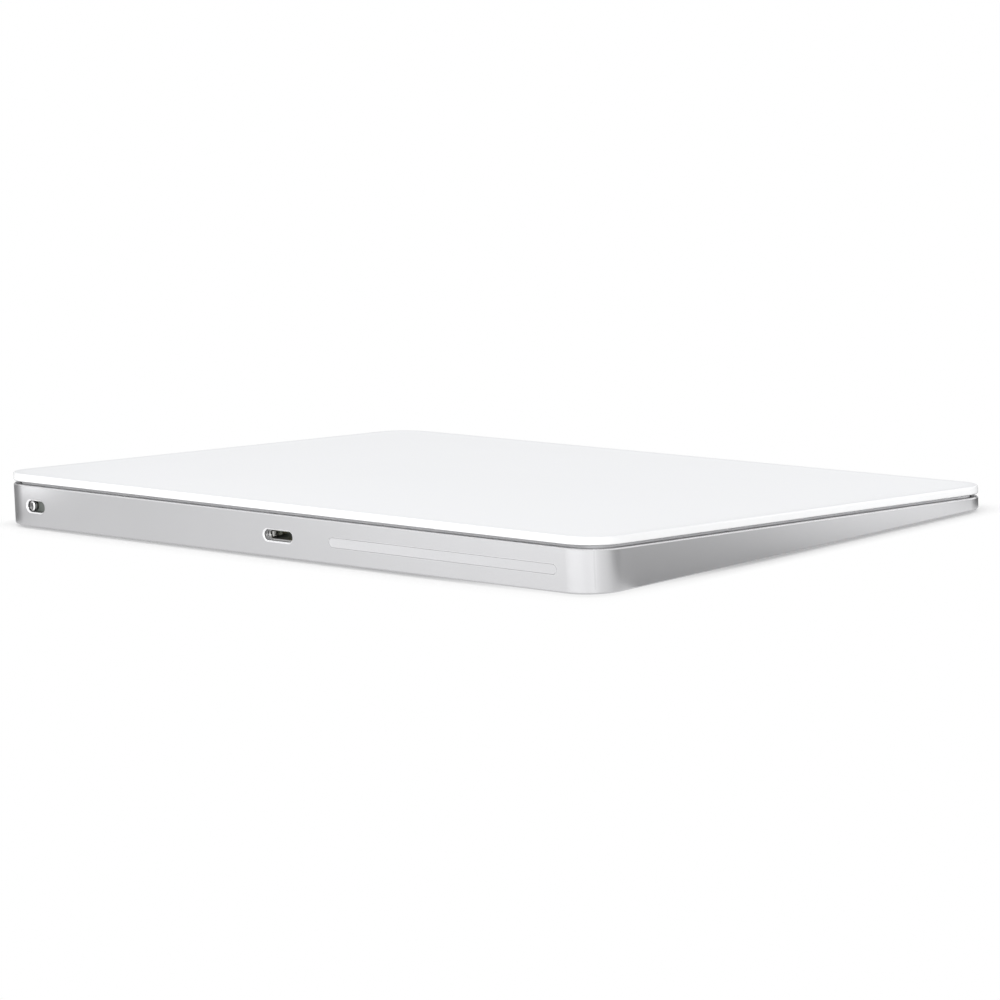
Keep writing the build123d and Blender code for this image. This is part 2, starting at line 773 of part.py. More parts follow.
core_places = [(-core_spacing / 2, haptic_y), (core_spacing / 2, haptic_y)]
core_outer_leg_x = (core_width - core_outer_leg) / 2
with BuildPart() as haptic_cores:
    with BuildSketch(depth_plane(haptic_base_top_depth)):
        with Locations(*core_places):
            Rectangle(core_width, core_length)
    extrude(amount=core_yoke)
    with BuildSketch(depth_plane(haptic_base_top_depth - core_yoke)):
        with Locations(*core_places):
            Rectangle(core_centre_leg, core_length)
            with Locations((-core_outer_leg_x, 0), (core_outer_leg_x, 0)):
                Rectangle(core_outer_leg, core_length)
    extrude(amount=core_leg_height)

with BuildPart() as haptic_coils:
    coil_bore_width = core_centre_leg + 2 * seat_gap
    coil_bore_length = core_length + 2 * seat_gap
    with BuildSketch(depth_plane(haptic_base_top_depth - core_yoke)):
        with Locations(*core_places):
            RectangleRounded(
                coil_bore_width + 2 * coil_thickness,
                coil_bore_length + 2 * coil_thickness,
                coil_thickness,
            )
            RectangleRounded(coil_bore_width, coil_bore_length, seat_gap, mode=Mode.SUBTRACT)
    extrude(amount=coil_height)

haptic_screw_parts = screw_set(depth_plane(haptic_base_top_depth), haptic_screw_places, screw_shank_length)
with BuildPart() as haptic_screws:
    add(haptic_screw_parts)

# Battery: two flat cells with folded terraces at the rear
cell_places = [(-cell_x, cell_y), (cell_x, cell_y)]
with BuildPart() as battery_cells:
    with BuildSketch(Plane.XY.offset(cell_bottom)):
        with Locations(*cell_places):
            RectangleRounded(cell_width, cell_length, cell_corner)
    extrude(amount=cell_thickness)
    fillet(battery_cells.faces().filter_by(Axis.Z).edges(), cell_edge_round)
    terrace_y = cell_rear_y + (terrace_length - cell_edge_round) / 2
    with BuildSketch(Plane.XY.offset(cell_bottom + cell_edge_round)):
        with Locations((-cell_x, terrace_y), (cell_x, terrace_y)):
            Rectangle(cell_width - 2 * cell_corner, terrace_length + cell_edge_round)
    extrude(amount=terrace_thickness)

with BuildPart() as battery_tape:
    with BuildSketch(Plane.XY.offset(web_top)):
        with Locations(*cell_places):
            with Locations((-tape_spacing / 2, 0), (tape_spacing / 2, 0)):
                Rectangle(tape_width, cell_length - 2 * tape_margin)
    extrude(amount=tape_thickness)

guard_board_z = cell_bottom + cell_edge_round + terrace_thickness
guard_board_y = cell_rear_y + terrace_length / 2 + seat_gap
with BuildPart() as battery_guard_board:
    with BuildSketch(Plane.XY.offset(guard_board_z)):
        with Locations((-guard_board_x, guard_board_y), (guard_board_x, guard_board_y)):
            Rectangle(guard_board_length, terrace_length - 2 * seat_gap)
    extrude(amount=guard_board_thickness)
    with BuildSketch(Plane.XY.offset(guard_board_z + guard_board_thickness)):
        with Locations((-guard_board_x, guard_board_y), (guard_board_x, guard_board_y)):
            with GridLocations(guard_chip_pitch, 0, guard_chip_count, 1):
                Rectangle(guard_chip_length, guard_chip_width)
    extrude(amount=guard_chip_height)

# Main board and what is on it
with BuildPart() as main_board:
    with BuildSketch(Plane.XY.offset(board_bottom)):
        with Locations((0, board_y)):
            RectangleRounded(board_width, board_length, board_corner)
        with Locations(*board_screw_places):
            Circle(screw_shank_diameter / 2 + seat_gap, mode=Mode.SUBTRACT)
    extrude(amount=board_thickness)

board_screw_parts = screw_set(Plane.XY.offset(board_top), board_screw_places, screw_shank_length)
with BuildPart() as board_screws:
    add(board_screw_parts)

with BuildPart() as board_connectors:
    with BuildSketch(Plane.XY.offset(board_top)):
        with Locations(*connector_places):
            Rectangle(connector_length, connector_width)
    extrude(amount=connector_height)

# Shield cans, each a thin box open below, and the chips inside and beside them
can_x_shares = (-0.54, 0.42)
can_width_shares = (0.19, 0.14)
can_length_share = 0.66
with BuildPart() as shield_cans:
    for x_share, width_share in zip(can_x_shares, can_width_shares):
        can_width = width_share * board_width
        can_length = can_length_share * board_length
        with BuildSketch(Plane.XY.offset(board_top)):
            with Locations((x_share * board_width / 2, board_y)):
                RectangleRounded(can_width, can_length, can_corner)
        extrude(amount=can_height)
        with BuildSketch(Plane.XY.offset(board_top)):
            with Locations((x_share * board_width / 2, board_y)):
                Rectangle(can_width - 2 * can_wall, can_length - 2 * can_wall)
        extrude(amount=can_height - can_wall, mode=Mode.SUBTRACT)

chip_x_shares = (-0.62, -0.48, 0.42, -0.16, -0.07, 0.22, 0.6, 0.8)
chip_y_shares = (0.0, 0.0, 0.0, 0.3, -0.1, 0.2, 0.35, 0.2)
chip_size_shares = (0.45, 0.3, 0.5, 0.36, 0.24, 0.3, 0.26, 0.3)
chip_height_share = 0.6
with BuildPart() as board_chips:
    with BuildSketch(Plane.XY.offset(board_top)):
        for x_share, y_share, size_share in zip(chip_x_shares, chip_y_shares, chip_size_shares):
            with Locations((x_share * board_width / 2, board_y + y_share * board_length / 2)):
                Rectangle(size_share * board_length, size_share * board_length)
    extrude(amount=chip_height_share * can_height)

# Port: shell, insulator, contacts, latch springs and strap
with BuildPart() as port_shell:
    with BuildSketch(rear_plane(port_lip_depth)):
        SlotOverall(port_shell_width, port_shell_height)
        SlotOverall(port_cavity_width, port_cavity_height, mode=Mode.SUBTRACT)
    extrude(amount=port_shell_length)

plug_front = port_lip_depth + port_shell_length - port_plug_length
shelf_front = port_lip_depth + contact_front_inset
contact_shelf_width = port_cavity_width - port_cavity_height + 2 * contact_shelf_reach
contact_z = port_cavity_height / 2 - seat_gap - contact_shelf_thickness - contact_thickness / 2
with BuildPart() as port_insulator:
    with BuildSketch(rear_plane(plug_front)):
        SlotOverall(port_cavity_width - 2 * seat_gap, port_cavity_height - 2 * seat_gap)
    extrude(amount=port_plug_length + port_tail_length)
    with BuildSketch(rear_plane(shelf_front)):
        with Locations((0, contact_z + (contact_thickness + contact_shelf_thickness) / 2)):
            Rectangle(contact_shelf_width, contact_shelf_thickness)
    extrude(amount=plug_front - shelf_front)
    with BuildSketch(rear_plane(plug_front)):
        with Locations((0, contact_z)):
            with GridLocations(contact_pitch, 0, contact_count, 1):
                Rectangle(contact_width + 2 * seat_gap, contact_thickness + 2 * seat_gap)
    extrude(amount=port_plug_length + port_tail_length, mode=Mode.SUBTRACT)

with BuildPart() as port_contacts:
    with BuildSketch(rear_plane(shelf_front)):
        with Locations((0, contact_z)):
            with GridLocations(contact_pitch, 0, contact_count, 1):
                Rectangle(contact_width, contact_thickness)
    extrude(amount=plug_front - shelf_front + port_plug_length + port_tail_length + contact_tail)

with BuildPart() as port_latch_springs:
    spring_front_y = rear_y - port_lip_depth - latch_front_inset
    spring_rear_y = spring_front_y - latch_spring_length
    spring_x = port_cavity_width / 2 - latch_side_inset
    with BuildSketch(Plane.XY.offset(rear_line_z - latch_spring_height / 2)):
        with BuildLine():
            ThreePointArc(
                (spring_x, spring_front_y),
                (spring_x - latch_spring_bulge, (spring_front_y + spring_rear_y) / 2),
                (spring_x, spring_rear_y),
            )
        trace(line_width=latch_spring_thickness)
    extrude(amount=latch_spring_height)
    mirror(about=Plane.YZ)

strap_outer_x = strap_line_x + strap_ear
with BuildPart() as port_strap:
    with BuildSketch(rear_plane(port_lip_depth + strap_front_gap)):
        with BuildLine():
            FilletPolyline(
                (-strap_outer_x, strap_ear_z),
                (-strap_line_x, strap_ear_z),
                (-strap_line_x, strap_top_z),
                (strap_line_x, strap_top_z),
                (strap_line_x, strap_ear_z),
                (strap_outer_x, strap_ear_z),
                radius=strap_bend,
            )
        trace(line_width=strap_thickness)
    extrude(amount=strap_length)
    with BuildSketch(Plane.XY.offset(web_top)):
        with Locations(*port_screw_places):
            Circle(screw_shank_diameter / 2 + seat_gap)
    extrude(amount=body_top, mode=Mode.SUBTRACT)

port_screw_seat = Plane.XY.offset(strap_seat_z + strap_thickness)
port_screw_parts = screw_set(port_screw_seat, port_screw_places, screw_shank_length)
with BuildPart() as port_screws:
    add(port_screw_parts)

# Power switch: knob, slider plate, switch body, bracket
with BuildPart() as switch_knob:
    with BuildSketch(rear_plane(knob_sink)):
        with Locations((knob_x, 0)):
            SlotOverall(knob_height, knob_width, rotation=90)
    extrude(amount=slider_front - knob_sink)
    chamfer(switch_knob.faces().sort_by(Axis.Y)[-1].edges(), knob_edge)

with BuildPart() as slider_plate:
    with BuildSketch(rear_plane(slider_front)):
        with Locations((knob_x, 0)):
            RectangleRounded(slider_length, slider_height, slider_corner)
    extrude(amount=slider_thickness)
    with BuildSketch(rear_plane(slider_front + slider_thickness)):
        with Locations((knob_x, 0)):
            Rectangle(slider_pin_width, slider_pin_height)
    extrude(amount=slider_pin_length)

with BuildPart() as switch_body:
    with BuildSketch(rear_plane(switch_body_front)):
        with Locations((switch_body_x, 0)):
            RectangleRounded(switch_body_width, switch_body_height, slider_corner / 2)
    extrude(amount=switch_body_depth)
    pin_slot_length = knob_travel + slider_pin_width + 2 * running_gap
    with BuildSketch(rear_plane(switch_body_front)):
        with Locations((knob_x - knob_travel / 2, 0)):
            Rectangle(pin_slot_length, slider_pin_height + 2 * running_gap)
    extrude(amount=slider_pin_length, mode=Mode.SUBTRACT)

with BuildPart() as switch_bracket:
    bracket_line_y = rear_y - switch_bracket_front - switch_bracket_thickness / 2
    bracket_line_z = switch_seat_z + switch_bracket_thickness / 2
    with BuildSketch(Plane.YZ.offset(switch_bracket_x - switch_bracket_width / 2)):
        with BuildLine():
            FilletPolyline(
                (bracket_line_y - switch_bracket_foot, bracket_line_z),
                (bracket_line_y, bracket_line_z),
                (bracket_line_y, rear_line_z + switch_body_height / 2),
                radius=strap_bend,
            )
        trace(line_width=switch_bracket_thickness)
    extrude(amount=switch_bracket_width)
    with BuildSketch(Plane.XY.offset(web_top)):
        with Locations(*switch_screw_places):
            Circle(screw_shank_diameter / 2 + seat_gap)
    extrude(amount=switch_seat_z + switch_bracket_thickness - web_top, mode=Mode.SUBTRACT)

switch_screw_seat = Plane.XY.offset(switch_seat_z + switch_bracket_thickness)
switch_screw_parts = screw_set(switch_screw_seat, switch_screw_places, screw_shank_length)
with BuildPart() as switch_screws:
    add(switch_screw_parts)

# Flexible circuits
strip_width = connector_length - 2 * seat_gap
port_flex_shape = flex_strip(
    Plane.YZ.offset(port_socket[0]),
    [
        (port_flex_y, rear_line_z - port_cavity_height / 2),
        (port_flex_y, flex_on_connector),
        (port_socket[1] - connector_width / 2, flex_on_connector),
    ],
    strip_width,
)
with BuildPart() as port_flex:
    add(port_flex_shape)

haptic_flex_start = plan_y(haptic_y + haptic_base_length / 2 - haptic_screw_inset, 0)
haptic_flex_z = (
    middle_top_z + haptic_flex_start * slope_sine / slope_cosine - haptic_base_top_depth + 2 * flex_thickness
)
haptic_flex_shape = flex_strip(
    Plane.YZ.offset(haptic_socket[0]),
    [
        (haptic_flex_start, haptic_flex_z),
        (board_front_y - rib_board_gap, flex_on_connector),
        (haptic_socket[1] + connector_width / 2, flex_on_connector),
    ],
    strip_width,
)
with BuildPart() as haptic_flex:
    add(haptic_flex_shape)

guard_flex_z = guard_board_z + guard_board_thickness + flex_thickness / 2
battery_flex_start = guard_board_y - terrace_length / 4
battery_flex_shape = flex_strip(
    Plane.YZ.offset(battery_socket[0]),
    [
        (battery_flex_start, guard_flex_z),
        (battery_flex_start + terrace_length, guard_flex_z),
        (battery_socket[1] - connector_width / 2, flex_on_connector),
        (battery_socket[1] + connector_width / 2, flex_on_connector),
    ],
    battery_flex_width,
)
with BuildPart() as battery_flex:
    add(battery_flex_shape)
    mirror(about=Plane.YZ)


def under_stiffener_z(at_y):
    """Height of a strip that lies under the stiffener plate at a place along the depth."""
    return middle_top_z + (at_y * slope_sine - stiffener_depth - flex_thickness / 2) / slope_cosine


sensor_flex_start = plan_y(haptic_y + attraction_plate_length / 2, 0) + connector_width
sensor_flex_drop = sensor_socket[1] + connector_width + running_gap
sensor_flex_z = flex_on_connector + running_gap
sensor_flex_shape = flex_strip(
    Plane.YZ.offset(sensor_socket[0]),
    [
        (sensor_flex_start, under_stiffener_z(sensor_flex_start)),
        (sensor_flex_drop, under_stiffener_z(sensor_flex_drop)),
        (sensor_flex_drop, sensor_flex_z),
        (sensor_socket[1] - connector_width / 2, sensor_flex_z),
    ],
    strip_width,
)
with BuildPart() as sensor_flex:
    add(sensor_flex_shape)

antenna_flex_shape = flex_strip(
    Plane.YZ.offset(antenna_socket[0]),
    [
        (rear_y - wall - antenna_film_thickness, rear_line_z),
        ((rear_y - wall + board_rear_y) / 2, rear_line_z),
        (board_rear_y - connector_width / 2, flex_on_connector),
        (antenna_socket[1] - connector_width / 2, flex_on_connector),
    ],
    battery_flex_width,
)
with BuildPart() as antenna_flex:
    add(antenna_flex_shape)

switch_flex_y = rear_y - switch_body_front - switch_body_depth / 2
switch_flex_corner_x = (switch_socket[0] + switch_body_x) / 2
with BuildPart() as switch_flex:
    with BuildSketch(Plane.XY.offset(connector_top)):
        with BuildLine():
            FilletPolyline(
                (switch_body_x - switch_body_width / 2, switch_flex_y),
                (switch_flex_corner_x, switch_flex_y),
                (switch_flex_corner_x, switch_socket[1]),
                (switch_socket[0] - connector_length / 2, switch_socket[1]),
                radius=switch_flex_width,
            )
        trace(line_width=switch_flex_width)
    extrude(amount=flex_thickness)

export_pieces = {
    "enclosure": enclosure,
    "antenna_window": antenna_window,
    "antenna_film": antenna_film,
    "antenna_flex": antenna_flex,
    "bottom_cover": bottom_cover,
    "cover_adhesive": cover_adhesive,
    "feet": feet,
    "glass_plate": glass_plate,
    "carrier_frame": carrier_frame,
    "sensor_board": sensor_board,
    "stiffener_plate": stiffener_plate,
    "sensor_chips": sensor_chips,
    "sensor_flex": sensor_flex,
    "attraction_plate": attraction_plate,
    "force_beams": force_beams,
    "strain_gauges": strain_gauges,
    "gel_pads": gel_pads,
    "beam_screws": beam_screws,
    "haptic_base": haptic_base,
    "haptic_cores": haptic_cores,
    "haptic_coils": haptic_coils,
    "haptic_screws": haptic_screws,
    "haptic_flex": haptic_flex,
    "battery_cells": battery_cells,
    "battery_tape": battery_tape,
    "battery_guard_board": battery_guard_board,
    "battery_flex": battery_flex,
    "main_board": main_board,
    "board_screws": board_screws,
    "board_connectors": board_connectors,
    "shield_cans": shield_cans,
    "board_chips": board_chips,
    "port_shell": port_shell,
    "port_insulator": port_insulator,
    "port_contacts": port_contacts,
    "port_latch_springs": port_latch_springs,
    "port_strap": port_strap,
    "port_screws": port_screws,
    "port_flex": port_flex,
    "switch_knob": switch_knob,
    "slider_plate": slider_plate,
    "switch_body": switch_body,
    "switch_bracket": switch_bracket,
    "switch_screws": switch_screws,
    "switch_flex": switch_flex,
}

os.makedirs("parts", exist_ok=True)
for name, piece in export_pieces.items():
    piece.part.label = name
    export_step(piece.part, f"parts/{name}.step")
print("slope in degrees", round(degrees(slope), 3))
print("knob travel", round(knob_travel, 3))
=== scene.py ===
import json
from math import cos, radians, sin, tau

import bpy
from bpy.props import FloatProperty, FloatVectorProperty, PointerProperty
from bpy.types import Operator, Panel, PropertyGroup
from mathutils import Matrix, Vector

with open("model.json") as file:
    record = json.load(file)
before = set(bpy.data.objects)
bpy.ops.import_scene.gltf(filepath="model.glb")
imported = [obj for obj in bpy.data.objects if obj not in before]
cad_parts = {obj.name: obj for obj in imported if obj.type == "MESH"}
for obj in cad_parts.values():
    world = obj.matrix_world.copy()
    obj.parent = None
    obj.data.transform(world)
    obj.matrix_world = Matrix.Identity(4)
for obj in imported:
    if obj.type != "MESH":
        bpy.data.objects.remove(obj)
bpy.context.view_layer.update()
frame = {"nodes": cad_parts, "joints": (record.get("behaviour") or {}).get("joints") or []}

bl_info = {
    "name": "Desk Trackpad",
    "version": (1, 0, 0),
    "blender": (4, 5, 0),
    "location": "3D View > Sidebar > Trackpad",
    "description": "Finishes and studio for a wedge-shaped desk trackpad with a floating glass plate",
    "category": "Object",
}

MM = 0.001
MICRON = 0.000001
PRESS_AXIS = next(j for j in frame["joints"] if j["name"] == "plate_press")["axis"]
SLOPE_SINE, SLOPE_COSINE = PRESS_AXIS[1], -PRESS_AXIS[2]
SLOPE_UP = (0.0, -SLOPE_SINE, SLOPE_COSINE)

# Outline and levels of the part, which the finishes and the floor follow
HALF_WIDTH = 80.0 * MM
HALF_DEPTH = 57.45 * MM
CORNER_RADIUS = 7.1 * MM
NEAR_CORNER = (-HALF_WIDTH, HALF_DEPTH, 0.0)
GLASS_MIDDLE_TOP = 7.9 * MM
REAR_LINE_Z = 4.61 * MM
REAR_FACE_Y = 57.15 * MM
INNER_HALF_WIDTH = 78.2 * MM
INNER_HALF_DEPTH = 55.5 * MM
INNER_FLOOR_Z = 1.4 * MM

# Where the exact wall normal holds: how far a wall may lean, and how far inside the outline it may stand
WALL_LEAN = 0.03
WALL_SKIN = 0.2 * MM

# Depths under the glass top: of the cut edge of the rim, and where painted shade darkens the lower part of
# the glass edge; then the stretch inside the outline over which the painted shade along the outer strip of
# the glass top fades
RIM_CUT = (2.08 * MM, 2.5 * MM)
GLASS_EDGE_SHADE = (1.0 * MM, 1.5 * MM)
GLASS_MARGIN_SHADE = (0.3 * MM, 2.8 * MM)

# Middle, length and height of the outlines in the rear face, and how far the painted highlights round them
# reach outside
PORT_OUTLINE = (0.0, 8.08 * MM, 2.53 * MM)
SWITCH_OUTLINE = (69.3 * MM, 5.5 * MM, 2.7 * MM)
WINDOW_OUTLINE = (-42.25 * MM, 57.2 * MM, 1.9 * MM)
LIP_HIGHLIGHT_REACH = 0.02 * MM
WINDOW_HIGHLIGHT_REACH = 0.1 * MM

# Knob: its middle, the radius of its dish, where its rim with the painted highlight starts and where the
# painted shade at its foot ends
KNOB_X = 70.85 * MM
KNOB_DISH = 0.6 * MM
KNOB_RIM_Y = 56.88 * MM
KNOB_FOOT_SHADE_Y = (56.2 * MM, 56.4 * MM)

# Coils: their middles, half the size of their bores, and the wire
COIL_X = 10.5 * MM
COIL_Y = 12.0 * MM
COIL_BORE_HALF_WIDTH = 1.55 * MM
COIL_BORE_HALF_LENGTH = 9.05 * MM
WIRE = 0.16 * MM


# Sizes and colours that a user would change


def colour_property(name, description, default):
    return FloatVectorProperty(
        name=name, description=description, default=default, size=3, min=0.0, max=1.0, subtype="COLOR"
    )


def length_property(name, description, default):
    return FloatProperty(
        name=name, description=description, default=default, min=0.0, subtype="DISTANCE", unit="LENGTH"
    )


def share_property(name, description, default):
    return FloatProperty(
        name=name, description=description, default=default, min=0.0, max=1.0, subtype="FACTOR"
    )


class MetalLook(PropertyGroup):
    """Anodised aluminium of the enclosure and the bottom cover"""

    colour: colour_property("Colour", "Colour of the anodised aluminium", (0.55, 0.55, 0.56))
    roughness: share_property("Roughness", "How matt the blasted surface is", 0.42)
    grain: length_property("Grain", "Size of the blasted grain", 0.16 * MM)
    relief: length_property("Relief", "Height of the blasted grain", 3.0 * MICRON)
    # Also the colour of the painted highlights round the port, switch and window
    chamfer_and_highlight_colour: colour_property("Chamfer colour", "Colour of the cut chamfers", (0.90, 0.90, 0.91))
    chamfer_roughness: share_property("Chamfer roughness", "How matt the cut chamfers are", 0.24)


class GlassLook(PropertyGroup):
    """White glass touch plate"""

    colour: colour_property("Colour", "Colour of the glass over its white backing", (0.905, 0.913, 0.93))
    roughness: share_property("Roughness", "How matt the etched top is", 0.42)
    grain: length_property("Grain", "Size of the etched grain", 0.11 * MM)
    edge_colour: colour_property("Edge colour", "Colour of the polished edge", (0.82, 0.825, 0.83))
    edge_roughness: share_property("Edge roughness", "How matt the polished edge is", 0.16)


class PlasticLook(PropertyGroup):
    """Moulded plastic pieces"""

    carrier: colour_property("Carrier", "Colour of the frame under the glass", (0.50, 0.50, 0.51))
    window: colour_property("Antenna window", "Colour of the strip in the rear face", (0.475, 0.475, 0.485))
    slider: colour_property("Slider", "Colour of the plate behind the knob", (0.115, 0.125, 0.115))
    foot: colour_property("Feet", "Colour of the soft feet", (0.56, 0.56, 0.56))


class StudioLook(PropertyGroup):
    """Floor and surroundings"""

    floor_colour: colour_property("Floor", "Colour of the floor", (0.98, 0.98, 0.98))
    floor_glow: share_property("Floor glow", "Share of plain white in the floor beside the object", 0.22)
    floor_radius: length_property("Floor radius", "How far the floor reaches", 12.0)
    surround: FloatProperty(
        name="Surround", description="Brightness of the plain surroundings", default=0.92, min=0.0
    )


# Shader expressions


class Value:
    """A number socket that Python arithmetic can use: each operator adds one Math node"""

    def __init__(self, graph, socket):
        self.graph = graph
        self.socket = socket

    def math(self, operation, first, second=0.0):
        made = self.graph.node("ShaderNodeMath", {"operation": operation}, {0: first, 1: second})
        return Value(self.graph, made.outputs[0])

    def __add__(self, other):
        return self.math("ADD", self, other)

    def __radd__(self, other):
        return self.math("ADD", other, self)

    def __sub__(self, other):
        return self.math("SUBTRACT", self, other)

    def __rsub__(self, other):
        return self.math("SUBTRACT", other, self)

    def __mul__(self, other):
        return self.math("MULTIPLY", self, other)

    def __rmul__(self, other):
        return self.math("MULTIPLY", other, self)

    def __truediv__(self, other):
        return self.math("DIVIDE", self, other)

    def __rtruediv__(self, other):
        return self.math("DIVIDE", other, self)

    def __gt__(self, other):
        return self.math("GREATER_THAN", self, other)

    def __lt__(self, other):
        return self.math("LESS_THAN", self, other)

    def __abs__(self):
        return self.math("ABSOLUTE", self)

    def highest(self, other):
        return self.math("MAXIMUM", self, other)

    def lowest(self, other):
        return self.math("MINIMUM", self, other)

    def root(self):
        return self.math("SQRT", self)

    def sign(self):
        return self.math("SIGN", self)

    def waves(self, pitch):
        """Even ripples between 0 and 1, one for each pitch of this value"""
        return self.math("SINE", self * (tau / pitch)) * 0.5 + 0.5

    def ramp(self, low, high):
        """0 below low, 1 above high, and smooth between"""
        made = self.graph.node(
            "ShaderNodeMapRange",
            {"interpolation_type": "SMOOTHSTEP"},
            {"Value": self, "From Min": low, "From Max": high},
        )
        return Value(self.graph, made.outputs[0])


class Finish:
    """One material while its nodes are added; lengths are metres of the shared frame"""

    def __init__(self, name):
        self.material = bpy.data.materials.new(name)
        self.material.use_nodes = True
        self.tree = self.material.node_tree
        self.tree.nodes.clear()
        self.place = self.node("ShaderNodeTexCoord").outputs["Object"]
        parts = self.node("ShaderNodeSeparateXYZ", {}, {"Vector": self.place}).outputs
        self.x, self.y, self.z = (Value(self, part) for part in parts)

    def node(self, kind, settings=None, sockets=None):
        """Any node: its type, its settings, then the values or links of its sockets"""
        made = self.tree.nodes.new(kind)
        for key, setting in (settings or {}).items():
            setattr(made, key, setting)
        for key, given in (sockets or {}).items():
            if isinstance(given, Value):
                given = given.socket
            if isinstance(given, bpy.types.NodeSocket):
                self.tree.links.new(given, made.inputs[key])
            elif made.inputs[key].type == "RGBA":
                made.inputs[key].default_value = (*given, 1.0)
            else:
                made.inputs[key].default_value = given
        return made

    def noise(self, size, detail=2.0, scale=None):
        """Noise between 0 and 1 with features of about the given size; a scale below 1 draws out streaks"""
        place = self.place
        if scale is not None:
            scaled = self.node("ShaderNodeVectorMath", {"operation": "MULTIPLY"}, {0: place, 1: scale})
            place = scaled.outputs[0]
        made = self.node("ShaderNodeTexNoise", {}, {"Vector": place, "Scale": 1 / size, "Detail": detail})
        return Value(self, made.outputs["Fac"])

    def cells(self, size):
        """Distance inside cells of about the given size"""
        made = self.node("ShaderNodeTexVoronoi", {}, {"Vector": self.place, "Scale": 1 / size})
        return Value(self, made.outputs["Distance"])

    def facing(self, direction):
        """How far the surface faces a direction, from -1 to 1"""
        normal = self.node("ShaderNodeNewGeometry").outputs["Normal"]
        made = self.node("ShaderNodeVectorMath", {"operation": "DOT_PRODUCT"}, {0: normal, 1: direction})
        return Value(self, made.outputs["Value"])

    def below_glass(self):
        """Depth below the plane of the glass top"""
        return GLASS_MIDDLE_TOP * SLOPE_COSINE + self.y * SLOPE_SINE - self.z * SLOPE_COSINE

    def distance(self, point):
        """Distance from a point"""
        made = self.node("ShaderNodeVectorMath", {"operation": "DISTANCE"}, {0: self.place, 1: point})
        return Value(self, made.outputs["Value"])

    def outside_slot(self, middle, length, height):
        """Distance outside a slot's outline in the rear face"""
        along = (abs(self.x - middle) - (length - height) / 2).highest(0.0)
        across = self.z - REAR_LINE_Z
        return (along * along + across * across).root() - height / 2

    def past_corner_middles(self):
        """How far a place lies outward of the middles of the round corners, across and along the part"""
        across = (abs(self.x) - (HALF_WIDTH - CORNER_RADIUS)).highest(0.0)
        along = (abs(self.y) - (HALF_DEPTH - CORNER_RADIUS)).highest(0.0)
        return across, along

    def inside_outline(self):
        """Distance inside the outline of the enclosure and the glass, seen from above"""
        across, along = self.past_corner_middles()
        return CORNER_RADIUS - (across * across + along * along).root()

    def wall_normal(self, share):
        """Exact normal of the upright outer wall and its round corners, where the share is 1"""
        across, along = self.past_corner_middles()
        sockets = {"X": across * self.x.sign(), "Y": along * self.y.sign()}
        level = self.node("ShaderNodeCombineXYZ", {}, sockets).outputs[0]
        unit = self.node("ShaderNodeVectorMath", {"operation": "NORMALIZE"}, {0: level}).outputs[0]
        normal = self.node("ShaderNodeNewGeometry").outputs["Normal"]
        upright = abs(self.facing((0.0, 0.0, 1.0))) < WALL_LEAN
        outside = self.inside_outline() < WALL_SKIN
        # A Mix node has its two vectors in sockets 4 and 5, and gives their mix in output 1
        return self.node(
            "ShaderNodeMix", {"data_type": "VECTOR"}, {0: share * upright * outside, 4: normal, 5: unit}
        ).outputs[1]

    def mix(self, share, first, second):
        """Colour between two colours"""
        # A Mix node has its two colours in sockets 6 and 7, and gives their mix in output 2
        made = self.node(
            "ShaderNodeMix", {"data_type": "RGBA", "clamp_factor": True}, {0: share, 6: first, 7: second}
        )
        return made.outputs[2]

    def bump(self, height, distance, under=None):
        """Normal that a height between 0 and 1 gives, over the normal under it"""
        sockets = {"Height": height, "Distance": distance, "Strength": 1.0}
        if under is not None:
            sockets["Normal"] = under
        return self.node("ShaderNodeBump", {}, sockets).outputs[0]

    def finished(self, shader):
        """Adds the output and gives the material"""
        self.node("ShaderNodeOutputMaterial", {}, {"Surface": shader.outputs[0]})
        return self.material

    def surface(self, colour, roughness, metallic, normal, **constants):
        """The material with one shader; constants are set on the shader's own sockets"""
        sockets = {"Base Color": colour, "Roughness": roughness, "Metallic": metallic, "Normal": normal}
        sockets.update({key.replace("_", " "): given for key, given in constants.items()})
        return self.finished(self.node("ShaderNodeBsdfPrincipled", {}, sockets))

    def blend(self, share, first, second):
        """The material with a blend of two shaders"""
        sockets = {0: share, 1: first.outputs[0], 2: second.outputs[0]}
        return self.finished(self.node("ShaderNodeMixShader", {}, sockets))


def shade(colour, share):
    """A colour made lighter or darker by a share"""
    return tuple(min(1.0, part * share) for part in colour)


# Finishes


def blasted(f, look):
    """Colour, roughness, height and grain of bead-blasted, anodised aluminium"""
    grain = f.noise(look.grain, detail=3.0)
    pits = f.cells(look.grain * 1.6)
    cloud = f.noise(14 * MM, detail=3.0)
    colour = f.mix(grain * 0.55 + cloud * 0.45, shade(look.colour, 0.955), shade(look.colour, 1.045))
    roughness = look.roughness - 0.03 + grain * 0.04 + cloud * 0.02
    return colour, roughness, grain * 0.7 + pits * 0.3, grain


def cover_aluminium(name, look):
    """Aluminium that is blasted all over"""
    f = Finish(name)
    colour, roughness, height, _ = blasted(f, look)
    return f.surface(colour, roughness, 1.0, f.bump(height, look.relief))


